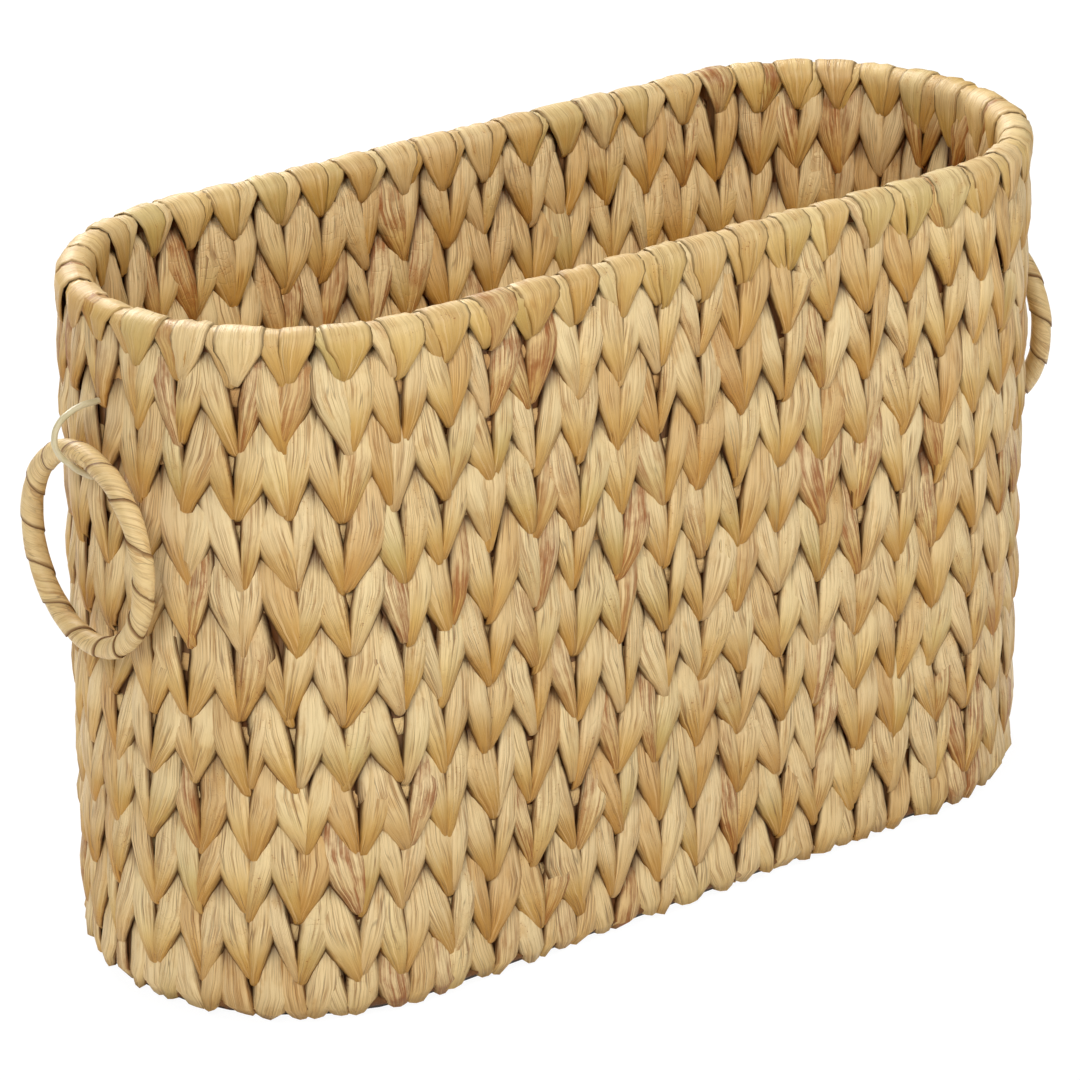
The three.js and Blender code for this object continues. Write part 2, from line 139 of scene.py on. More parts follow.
class Graph:
    """A node tree under construction, of a material, a world or a geometry modifier."""

    def __init__(self, tree: bpy.types.NodeTree) -> None:
        """Starts with an empty tree."""
        self.tree = tree
        tree.nodes.clear()

    def node(self, kind: str, settings: dict | None = None, values: dict | None = None) -> bpy.types.Node:
        """Adds one node.

        Args:
            kind: The node's type.
            settings: The node's own properties, set first. "stops" gives a ramp's stops.
            values: Plain values or wires for its inputs, by name or number.

        Returns:
            The new node.
        """
        made = self.tree.nodes.new(kind)
        for name, value in (settings or {}).items():
            if name == "stops":
                self.set_stops(made, value)
            else:
                setattr(made, name, value)
        for key, value in (values or {}).items():
            self.feed(made.inputs[key], value)
        return made

    def out(self, kind: str, output: str | int, settings: dict | None = None,
            values: dict | None = None) -> Wire:
        """Adds one node and gives one of its outputs.

        Args:
            kind: The node's type.
            output: The output's name or number.
            settings: The node's own properties.
            values: Plain values or wires for its inputs.

        Returns:
            The output as a wire.
        """
        return Wire(self, self.node(kind, settings, values).outputs[output])

    def feed(self, socket: bpy.types.NodeSocket, value: Value) -> None:
        """Links a wire to an input socket, or sets the input's plain value."""
        if isinstance(value, Wire):
            self.tree.links.new(value.socket, socket)
        else:
            socket.default_value = value

    @staticmethod
    def set_stops(ramp: bpy.types.Node, stops: Sequence[tuple[float, Colour]]) -> None:
        """Gives a colour ramp its stops, each a place from 0 to 1 and a colour."""
        elements = ramp.color_ramp.elements
        while len(elements) < len(stops):
            elements.new(1.0)
        for element, (place, colour) in zip(elements, stops):
            element.position = place
            element.color = colour

    def math(self, operation: str, *values: Value) -> Wire:
        """Adds a Math node, or a Vector Math node where a wire is a vector.

        Args:
            operation: The node's operation.
            values: Its inputs, wires or plain numbers.

        Returns:
            Its result.
        """
        if any(isinstance(value, Wire) and value.socket.type == "VECTOR" for value in values):
            spread = [(value,) * 3 if isinstance(value, (int, float)) else value for value in values]
            return self.out("ShaderNodeVectorMath", "Vector", {"operation": operation},
                            dict(enumerate(spread)))
        return self.out("ShaderNodeMath", 0, {"operation": operation}, dict(enumerate(values)))

    def vector(self, x: Value, y: Value, z: Value) -> Wire:
        """Joins three numbers to a vector."""
        return self.out("ShaderNodeCombineXYZ", 0, None, {0: x, 1: y, 2: z})

    def parts(self, vector: Wire) -> tuple[Wire, Wire, Wire]:
        """Splits a vector into its three numbers."""
        made = self.node("ShaderNodeSeparateXYZ", None, {0: vector})
        return Wire(self, made.outputs[0]), Wire(self, made.outputs[1]), Wire(self, made.outputs[2])

    def ease(self, value: Wire, low: float, high: float) -> Wire:
        """Goes smoothly from 0 to 1 while the value goes from low to high, either way round."""
        return self.out("ShaderNodeMapRange", 0, {"interpolation_type": "SMOOTHSTEP"},
                        {0: value, 1: low, 2: high, 3: 0.0, 4: 1.0})

    def noise(self, place: Wire, scale: float, detail: float = 2.0, roughness: float = 0.5,
              output: str = "Fac") -> Wire:
        """Adds a Noise Texture.

        Args:
            place: Where it is read.
            scale: Its scale.
            detail: Its octaves.
            roughness: How strong its finer octaves are.
            output: "Fac" or "Color".

        Returns:
            The chosen output.
        """
        return self.out("ShaderNodeTexNoise", output, None,
                        {"Vector": place, "Scale": scale, "Detail": detail, "Roughness": roughness})

    def ridges(self, place: Wire, low: float) -> Wire:
        """Draws thin lines where a noise crosses its middle.

        Args:
            place: Where the noise is read.
            low: Where a line starts to show, from 0 to 1: the higher, the thinner.

        Returns:
            1 on the lines, 0 between them.
        """
        spread = self.noise(place, 1.0, 1.0, 0.4)
        return self.ease(1 - self.math("ABSOLUTE", spread * 2 - 1), low, 1.0)

    def coats(self, base: Value, coats: Sequence[tuple[Value, Value]]) -> Wire:
        """Lays colours over a base, each over the ones before it.

        Args:
            base: The base colour.
            coats: Each coat's share, from 0 to 1, and its colour.

        Returns:
            The colour that shows.
        """
        for share, colour in coats:
            base = self.out("ShaderNodeMix", 2, {"data_type": "RGBA", "blend_type": "MIX"},
                            {0: share, 6: base, 7: colour})
        return base


def even_shares(length: float, step: float, fewest: int) -> list[float]:
    """Divides a length evenly.

    Args:
        length: The length.
        step: Widest spacing.
        fewest: Least number of pieces.

    Returns:
        The places of all dividing points, as shares from 0 to 1.
    """
    count = max(fewest, math.ceil(length / step))
    return [i / count for i in range(count + 1)]


@dataclass(frozen=True)
class Weave:
    """Sizes of the wall and of its arrow weave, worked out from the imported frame."""

    length: float
    width: float
    height: float
    strand_count: int
    columns_per_strand: int = 2
    rows: int = 10
    row_pitch: float = 27.1 * MM
    first_drop: float = 21.1 * MM
    wall_depth: float = 12.4 * MM
    rim_rise: float = 5.7 * MM
    foot_reach: float = 7.0 * MM
    foot_lift: float = 2.0 * MM
    foot_inset: float = 0.3 * MM
    tuck_in: float = 3.0 * MM
    tuck_step: float = 1.0 * MM
    rim_crown_share: float = 0.93
    face_points: int = 28
    backing_depth: float = 3.5 * MM
    foot_backing_depth: float = 1.4 * MM
    backing_thickness: float = 0.8 * MM

    @classmethod
    def from_frame(cls) -> "Weave":
        """Reads the wall's outer sizes from the boxes of its strands."""
        names = [name for name in frame["nodes"] if name.startswith("wall_strand")]
        boxes = [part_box(name) for name in names]
        low = [min(box[0][axis] for box in boxes) for axis in range(3)]
        high = [max(box[1][axis] for box in boxes) for axis in range(3)]
        return cls(high[0] - low[0], high[1] - low[1], high[2] - low[2], len(names))

    @property
    def end_radius(self) -> float:
        """Radius of the half-round ends over the leaves."""
        return self.width / 2

    @property
    def straight_half(self) -> float:
        """Half the length of a straight side."""
        return self.length / 2 - self.end_radius

    @property
    def perimeter(self) -> float:
        """Length round the outer face."""
        return 2 * math.pi * self.end_radius + 4 * self.straight_half

    @property
    def column_width(self) -> float:
        """Width of one V column."""
        return self.perimeter / (self.strand_count * self.columns_per_strand)

    def tip_height(self, row: float) -> float:
        """Height of the V bottoms of a row."""
        return self.height - self.first_drop - row * self.row_pitch

    def plan_point(self, s: float, depth: float) -> tuple[float, float]:
        """Finds a place in plan.

        Args:
            s: Way round the outer face, from the middle of the left end along the front first.
            depth: Depth into the wall.

        Returns:
            Its x and y.
        """
        quarter = math.pi * self.end_radius / 2
        reach = self.end_radius - depth
        along = s % self.perimeter
        far = along >= self.perimeter / 2
        along -= self.perimeter / 2 if far else 0.0
        if along < quarter:
            angle = along / self.end_radius
            x, y = -self.straight_half - reach * math.cos(angle), -reach * math.sin(angle)
        elif along < quarter + 2 * self.straight_half:
            x, y = along - quarter - self.straight_half, -reach
        else:
            angle = (along - quarter - 2 * self.straight_half) / self.end_radius
            x, y = self.straight_half + reach * math.sin(angle), -reach * math.cos(angle)
        return (-x, -y) if far else (x, y)

    def plan_points(self, step: float) -> list[Vector]:
        """Points of the plan's outline, with a point every step or closer."""
        shares = even_shares(self.perimeter, step, 1)[:-1]
        return [Vector((*self.plan_point(self.perimeter * share, 0.0), 0.0)) for share in shares]

    def path_points(self, step: float) -> tuple[list[Vector], int, int]:
        """Points of the leaves' path across the wall: depth is x and height is z.

        It starts inside the foot, goes under it and up the outer face, over the rim, and down the
        inner face to end inside the foot.

        Args:
            step: Widest spacing of points on curved stretches.

        Returns:
            The points, the number of the first one on the outer face, and of the first one on the
            inner face.
        """
        reach, lift, tuck = self.foot_reach, self.foot_lift, self.tuck_step
        rise, crown = self.height - self.rim_rise, self.rim_rise * self.rim_crown_share
        middle, high = self.wall_depth / 2, 4 * reach
        quarter = [math.pi / 2 * share for share in even_shares(math.pi / 2 * reach, step, 6)]
        half = [math.pi * share for share in even_shares(math.pi * middle, step, 12)]
        start = reach + self.tuck_in
        points = [(start, high), (start, reach), (start - tuck, lift + tuck)]
        points += [(self.foot_inset + reach * (1 - math.sin(angle)),
                    lift + (reach - lift) * (1 - math.cos(angle))) for angle in quarter]
        outer = len(points)
        points += [(0.0, reach + (rise - reach) * share)
                   for share in np.linspace(0.02, 1.0, self.face_points)]
        points += [(middle * (1 - math.cos(angle)), rise + crown * math.sin(angle)) for angle in half[1:-1]]
        inner = len(points)
        points += [(self.wall_depth, rise + (reach - rise) * share)
                   for share in np.linspace(0.0, 1.0, self.face_points)]
        points += [(self.wall_depth - reach / 2 * (1 - math.cos(angle)),
                    lift + (reach - lift) * (1 - math.sin(angle))) for angle in quarter[1:]]
        end = middle - 2 * tuck
        points += [(middle - tuck, lift + tuck), (end, reach), (end, high)]
        return [Vector((depth, 0.0, height)) for depth, height in points], outer, inner


def ways_along(points: Sequence[Vector]) -> list[float]:
    """Measures how far along a line each of its points lies."""
    ways = [0.0]
    for before, after in zip(points, points[1:]):
        ways.append(ways[-1] + (after - before).length)
    return ways


@dataclass(frozen=True)
class LeafPath:
    """The leaves' path across the wall, with the places along it that the weave needs."""

    points: list[Vector]
    start: float
    fold: float
    length: float

    @classmethod
    def of(cls, weave: Weave) -> "LeafPath":
        """Measures the path.

        Args:
            weave: The wall's sizes.

        Returns:
            The path. Its start is what is added to a height on the outer face to give the way
            along it, and fold is what a height on the inner face is taken from.
        """
        points, outer, inner = weave.path_points(1.2 * MM)
        way = ways_along(points)
        start = way[outer] - points[outer].z
        fold = way[inner] + points[inner].z - start
        return cls(points, start, fold, way[-1])


def leaf_object(name: str, rings: Sequence[Sequence[Sequence[float]]],
                grids: Sequence[Sequence[Sequence[float]]], shelf: bpy.types.Collection) -> bpy.types.Object:
    """Makes a closed leaf body from rings of points that follow each other.

    Args:
        name: The object's name.
        rings: The rings, each with the same number of points.
        grids: For each point its place across the leaf and its way along it in millimetres.
        shelf: The collection that keeps it.

    Returns:
        The object, its faces pointing out.
    """
    sides = len(rings[0])
    places = np.array(rings, float).reshape(-1, 3)
    faces: list[tuple[int, ...]] = []
    for ring in range(len(rings) - 1):
        for side in range(sides):
            after = (side + 1) % sides
            faces.append((ring * sides + side, ring * sides + after,
                          (ring + 1) * sides + after, (ring + 1) * sides + side))
    faces.append(tuple(reversed(range(sides))))
    faces.append(tuple(range((len(rings) - 1) * sides, len(rings) * sides)))
    if signed_volume(places, faces) < 0:
        faces = [tuple(reversed(face)) for face in faces]
    mesh = bpy.data.meshes.new(name)
    mesh.from_pydata(places.tolist(), [], faces)
    mesh.attributes.new("leaf_grid", "FLOAT_VECTOR", "POINT").data.foreach_set(
        "vector", np.array(grids, np.float32).ravel())
    mesh.polygons.foreach_set("use_smooth", np.ones(len(faces), bool))
    made = bpy.data.objects.new(name, mesh)
    shelf.objects.link(made)
    return made


def signed_volume(places: np.ndarray, faces: Sequence[Sequence[int]]) -> float:
    """Volume that faces enclose, negative where they point inwards."""
    total = 0.0
    for face in faces:
        for i in range(1, len(face) - 1):
            total += np.dot(places[face[0]], np.cross(places[face[i]], places[face[i + 1]]))
    return total


@dataclass(frozen=True)
class Station:
    """One cut across a leaf blade, in shares of the weave's own sizes."""

    up: float
    inner: float
    outer: float
    crest: float
    crown: float


class Side(Enum):
    """Which half of a V a blade is."""

    LEFT = -1
    RIGHT = 1


class Layer(Enum):
    """What a point of leaf belongs to, kept as the third number of leaf_grid."""

    FACE = 0.0
    UNDERSIDE = 1.0
    BACKING = 2.0
    RIM_BAND = 3.0


@dataclass(frozen=True)
class BladeSet:
    """Leaf blades of the arrow weave: one half of a V from its bottom up to under the row above."""

    row_pitch: float
    half_column: float
    leaf: float = 2.0 * MM
    variants: int = 6
    seed: int = 11
    stations: tuple[Station, ...] = (
        Station(-0.040, -0.10, 0.12, -2.20, 0.20),
        Station(-0.012, -0.14, 0.18, -0.85, 0.45),
        Station(0.060, -0.15, 0.29, -0.05, 0.75),
        Station(0.210, -0.14, 0.48, 0.32, 1.00),
        Station(0.443, -0.12, 0.82, 0.55, 1.30),
        Station(0.700, -0.09, 1.14, 0.50, 1.35),
        Station(0.940, 0.00, 1.34, 0.14, 1.15),
        Station(1.250, 0.10, 1.34, -0.50, 0.80),
        Station(1.850, 0.40, 1.18, -1.95, 0.35),
    )
    section: tuple[tuple[float, float], ...] = (
        (-1.0, 0.04), (-0.68, 0.72), (-0.14, 1.0), (0.46, 0.90), (1.0, 0.04), (0.5, -0.35), (-0.5, -0.35),
    )

    def make(self, name: str, side: Side, variant: int, shelf: bpy.types.Collection) -> bpy.types.Object:
        """Makes one blade.

        Args:
            name: The object's name.
            side: Which half of the V it is.
            variant: Number that its own shape follows from.
            shelf: The collection that keeps it.

        Returns:
            The blade in leaf space, with its V bottom at the origin.
        """
        draw = np.random.default_rng(self.seed + 17 * variant + 5 * (side.value + 1))
        ridge = 1 + draw.normal(0, 0.13, len(self.section))
        ridge[draw.integers(1, 4)] -= draw.uniform(0.0, 0.25)
        lean = draw.normal(0, 0.14)
        swell = draw.normal(0, 0.07)
        bow = draw.normal(0, 0.05)
        rings, grids = [], []
        for station in self.stations:
            belly = math.sin(math.pi * min(1.0, max(0.0, station.up / 1.3)))
            inner = (station.inner + (bow - swell / 2) * belly) * self.half_column
            outer = (station.outer + (bow + swell) * belly) * self.half_column
            crest = (station.crest + draw.normal(0, 0.07) * belly) * self.leaf
            crown = station.crown * self.leaf
            middle, half = (inner + outer) / 2, (outer - inner) / 2
            ring, grid = [], []
            for (across, rise), factor in zip(self.section, ridge):
                share = rise * factor if rise > 0.1 else rise
                share += lean * across * belly * (rise > 0)
                ring.append((side.value * (middle + half * across), -crest + crown * (1 - share),
                             station.up * self.row_pitch))
                layer = Layer.UNDERSIDE if rise < 0 else Layer.FACE
                grid.append((across, station.up * self.row_pitch / MM, layer.value))
            rings.append(ring)
            grids.append(grid)
        return leaf_object(name, rings, grids, shelf)


@dataclass(frozen=True)
class RimBandSet:
    """Leaf bands folded over the rim, two for each column, from a V bottom outside to one inside."""

    fold_length: float
    half_column: float
    leaf: float = 2.0 * MM
    variants: int = 8
    seed: int = 5
    half: tuple[tuple[float, float, float, float], ...] = (
        (-0.8, 0.14, -2.20, 0.20),
        (-0.2, 0.22, -0.90, 0.36),
        (1.6, 0.33, -0.10, 0.50),
        (5.0, 0.52, 0.24, 0.60),
        (9.5, 0.78, 0.40, 0.62),
        (13.5, 1.00, 0.40, 0.54),
        (17.0, 1.12, 0.32, 0.44),
        (20.5, 1.16, 0.26, 0.40),
    )
    section: tuple[tuple[float, float], ...] = (
        (-1.0, 0.05), (-0.80, 0.72), (-0.40, 1.0), (0.0, 0.94), (0.40, 1.0), (0.80, 0.72),
        (1.0, 0.05), (0.5, -0.5), (-0.5, -0.5),
    )

    def make(self, name: str, side: Side, variant: int, shelf: bpy.types.Collection) -> bpy.types.Object:
        """Makes one band.

        Args:
            name: The object's name.
            side: Which edge of the column it covers.
            variant: Number that its own shape follows from.
            shelf: The collection that keeps it.

        Returns:
            The band in leaf space, with its outer V bottom at the origin.
        """
        draw = np.random.default_rng(self.seed + 31 * variant + 7 * (side.value + 1))
        ridge = 1 + draw.normal(0, 0.12, len(self.section))
        ridge[draw.integers(2, 5)] -= draw.uniform(0.1, 0.5)
        past_middle = draw.uniform(-0.05, 0.75)
        slope = draw.normal(0, 0.09)
        whole = self.fold_length / MM
        cuts = [*self.half, (whole / 2, *self.half[-1][1:])]
        cuts += [(whole - way, *rest) for way, *rest in reversed(self.half)]
        rings, grids = [], []
        for way, reach, crest, crown in cuts:
            from_end = min(way, whole - way)
            open_share = min(1.0, max(0.0, from_end / 14.0))
            outer = reach * (1 + draw.normal(0, 0.02) * open_share)
            inner = -(0.14 + (past_middle - 0.14) * open_share) * min(1.0, reach)
            crest = (crest + draw.normal(0, 0.05) * open_share) * self.leaf
            centre = slope * (way - whole / 2) * open_share * MM
            middle, half = (inner + outer) / 2 * self.half_column, (outer - inner) / 2 * self.half_column
            ring, grid = [], []
            for (across, rise), factor in zip(self.section, ridge):
                share = rise * factor if rise > 0.2 else rise
                ring.append((centre + side.value * (middle + half * across),
                             -crest + crown * self.leaf * (1 - share), way * MM))
                layer = Layer.UNDERSIDE if rise < 0 else Layer.RIM_BAND
                grid.append((across, from_end, layer.value))
            rings.append(ring)
            grids.append(grid)
        return leaf_object(name, rings, grids, shelf)


def slab_object(name: str, across: Sequence[float], cuts: Sequence[tuple[float, float, float]],
                shelf: bpy.types.Collection) -> bpy.types.Object:
    """Makes a thin leaf layer in leaf space.

    Args:
        name: The object's name.
        across: Places across it.
        cuts: Way along, near depth and far depth of each cut across it.
        shelf: The collection that keeps it.

    Returns:
        The layer.
    """
    leaves_across = 3
    stretch = 2 * leaves_across / (across[-1] - across[0])
    rings, grids = [], []
    for way, near, far in cuts:
        rings.append([(x, near, way) for x in across] + [(x, far, way) for x in reversed(across)])
        grids.append([(stretch * x, way / MM, Layer.BACKING.value) for x in (*across, *reversed(across))])
    return leaf_object(name, rings, grids, shelf)


def backing_object(weave: Weave, path: LeafPath, shelf: bpy.types.Collection) -> bpy.types.Object:
    """Makes the hidden leaf layer behind the blades of one strand.

    Args:
        weave: The wall's sizes.
        path: The leaves' path.
        shelf: The collection that keeps it.

    Returns:
        A slab in leaf space, one strand wide and as long as the leaves' path.
    """
    columns = 2 * weave.columns_per_strand
    width = weave.column_width * weave.columns_per_strand
    across = [width * i / columns - weave.column_width / 2 for i in range(columns + 1)]
    cuts = []
    for place in ways_along(path.points)[2:-3]:
        cut = place - path.start
        from_foot = min(cut, (path.fold - cut) / 2)
        near = weave.foot_backing_depth if from_foot < weave.foot_reach else weave.backing_depth
        cuts.append((cut, near, near + weave.backing_thickness))
    return slab_object("backing", across, cuts, shelf)


def line_object(name: str, points: Sequence[Vector], cyclic: bool, shelf: bpy.types.Collection,
                smooth: bool = False) -> bpy.types.Object:
    """Makes a curve object.

    Args:
        name: The object's name.
        points: Its points.
        cyclic: Whether it closes on itself.
        shelf: The collection that keeps it.
        smooth: Whether it runs smoothly through its points, and not straight between them.

    Returns:
        The curve object.
    """
    curve = bpy.data.curves.new(name, "CURVE")
    curve.dimensions = "3D"
    spline = curve.splines.new("BEZIER" if smooth else "POLY")
    knots = spline.bezier_points if smooth else spline.points
    knots.add(len(points) - 1)
    if smooth:
        knots.foreach_set("co", [number for point in points for number in point])
        for knot in knots:
            knot.handle_left_type = knot.handle_right_type = "AUTO"
    else:
        knots.foreach_set("co", [number for point in points for number in (*point, 1.0)])
    spline.use_cyclic_u = cyclic
    made = bpy.data.objects.new(name, curve)
    shelf.objects.link(made)
    return made


class MakingTree:
    """A Geometry Nodes tree that makes one kind of piece from named sizes."""

    def __init__(self, name: str, inputs: dict[str, str]) -> None:
        """Starts the tree.

        Args:
            name: The tree's name.
            inputs: The name and socket type of each input.
        """
        self.tree = bpy.data.node_groups.new(name, "GeometryNodeTree")
        self.graph = Graph(self.tree)
        self.identifiers: dict[str, str] = {}
        for label, kind in inputs.items():
            socket = self.tree.interface.new_socket(name=label, in_out="INPUT", socket_type=kind)
            self.identifiers[label] = socket.identifier
        self.tree.interface.new_socket(name="Geometry", in_out="OUTPUT", socket_type="NodeSocketGeometry")
        entry = self.graph.node("NodeGroupInput")
        self.given = {label: Wire(self.graph, entry.outputs[label]) for label in inputs}

    def keep(self, geometry: Wire, name: str, value: Value, domain: str = "POINT") -> Wire:
        """Stores a vector under a name on the geometry."""
        return self.graph.out("GeometryNodeStoreNamedAttribute", 0,
                              {"data_type": "FLOAT_VECTOR", "domain": domain},
                              {"Geometry": geometry, "Name": name, "Value": value})

    def kept(self, name: str) -> Wire:
        """Reads a vector that is stored under a name."""
        return self.graph.out("GeometryNodeInputNamedAttribute", 0, {"data_type": "FLOAT_VECTOR"},
                              {"Name": name})

    def close(self, geometry: Wire) -> None:
        """Ends the tree: real, smooth and with the material of its Finish input."""
        real = self.graph.out("GeometryNodeRealizeInstances", 0, None, {0: geometry})
        smooth = self.graph.out("GeometryNodeSetShadeSmooth", 0, None, {0: real})
        dressed = self.graph.out("GeometryNodeSetMaterial", 0, None,
                                 {"Geometry": smooth, "Material": self.given["Finish"]})
        self.graph.node("NodeGroupOutput", None, {0: dressed})

    def grow(self, name: str, values: dict[str, Value], shelf: bpy.types.Collection) -> bpy.types.Object:
        """Runs the tree once and gives the result as a plain mesh object.

        Args:
            name: The new object's name.
            values: The tree's inputs by name.
            shelf: The collection that keeps the carrier while the tree runs.

        Returns:
            The piece, linked to the scene.
        """
        carrier = bpy.data.objects.new(f"{name}_carrier", bpy.data.meshes.new(f"{name}_carrier"))
        modifier = carrier.modifiers.new("make", "NODES")
        modifier.node_group = self.tree
        for key, value in values.items():
            modifier[self.identifiers[key]] = value
        shelf.objects.link(carrier)
        graph = bpy.context.evaluated_depsgraph_get()
        graph.update()
        mesh = bpy.data.meshes.new_from_object(carrier.evaluated_get(graph), preserve_all_data_layers=True,
                                               depsgraph=graph)
        carrier.modifiers.clear()
        bpy.data.objects.remove(carrier)
        mesh.name = name
        made = bpy.data.objects.new(name, mesh)
        bpy.context.scene.collection.objects.link(made)
        return made


class Face(Enum):
    """Which face of a woven layer the blades show on."""

    FRONT = 0
    BACK_TURNED = 1
    BACK_FLIPPED = 2


class Draw(IntEnum):
    """What each random draw of a leaf is for; its number keeps the draws apart."""

    ALONG = 1
    UP = 2
    DEPTH = 3
    TURN = 4
    SHAPE = 5
    WIDTH = 6
    THICKNESS = 7
    LENGTH = 8
    KIND = 9
    PAIR = 10
    BAND_SHAPE = 41
    BAND_THICKNESS = 42
    BAND_WIDTH = 43
    BAND_DEPTH = 44
    BAND_KIND = 45
    BAND_UP = 46


@dataclass(frozen=True)
class HandWork:
    """How far hand-laid leaves stray from their even places.

    Sways are shared by neighbours and come from a noise; jitters are each leaf's own.
    """

    sway_grain: tuple[float, float]
    sway_along: float
    sway_up: float
    sway_turn: float
    jitter_up: float
    jitter_depth: float
    widths: tuple[float, float]
    thicknesses: tuple[float, float]
    lengths: tuple[float, float] = (1.0, 1.0)
    jitter_along: float = 0.0
    jitter_turn: float = 0.0
    pair_shift_share: float = 0.0
    pair_width_share: float = 0.0


BLADE_WORK = HandWork(
    sway_grain=(9.0, 14.0), sway_along=9.0 * MM, sway_up=11.0 * MM, sway_turn=0.24,
    jitter_along=1.2 * MM, jitter_up=1.9 * MM, jitter_depth=0.5 * MM, jitter_turn=0.09,
    widths=(0.93, 1.17), thicknesses=(0.85, 1.3), lengths=(0.96, 1.05),
    pair_shift_share=0.11, pair_width_share=0.42)
BAND_WORK = HandWork(
    sway_grain=(16.0, 0.0), sway_along=7.0 * MM, sway_up=8.0 * MM, sway_turn=0.1,
    jitter_up=1.0 * MM, jitter_depth=0.15 * MM, widths=(0.97, 1.06), thicknesses=(0.85, 1.15))


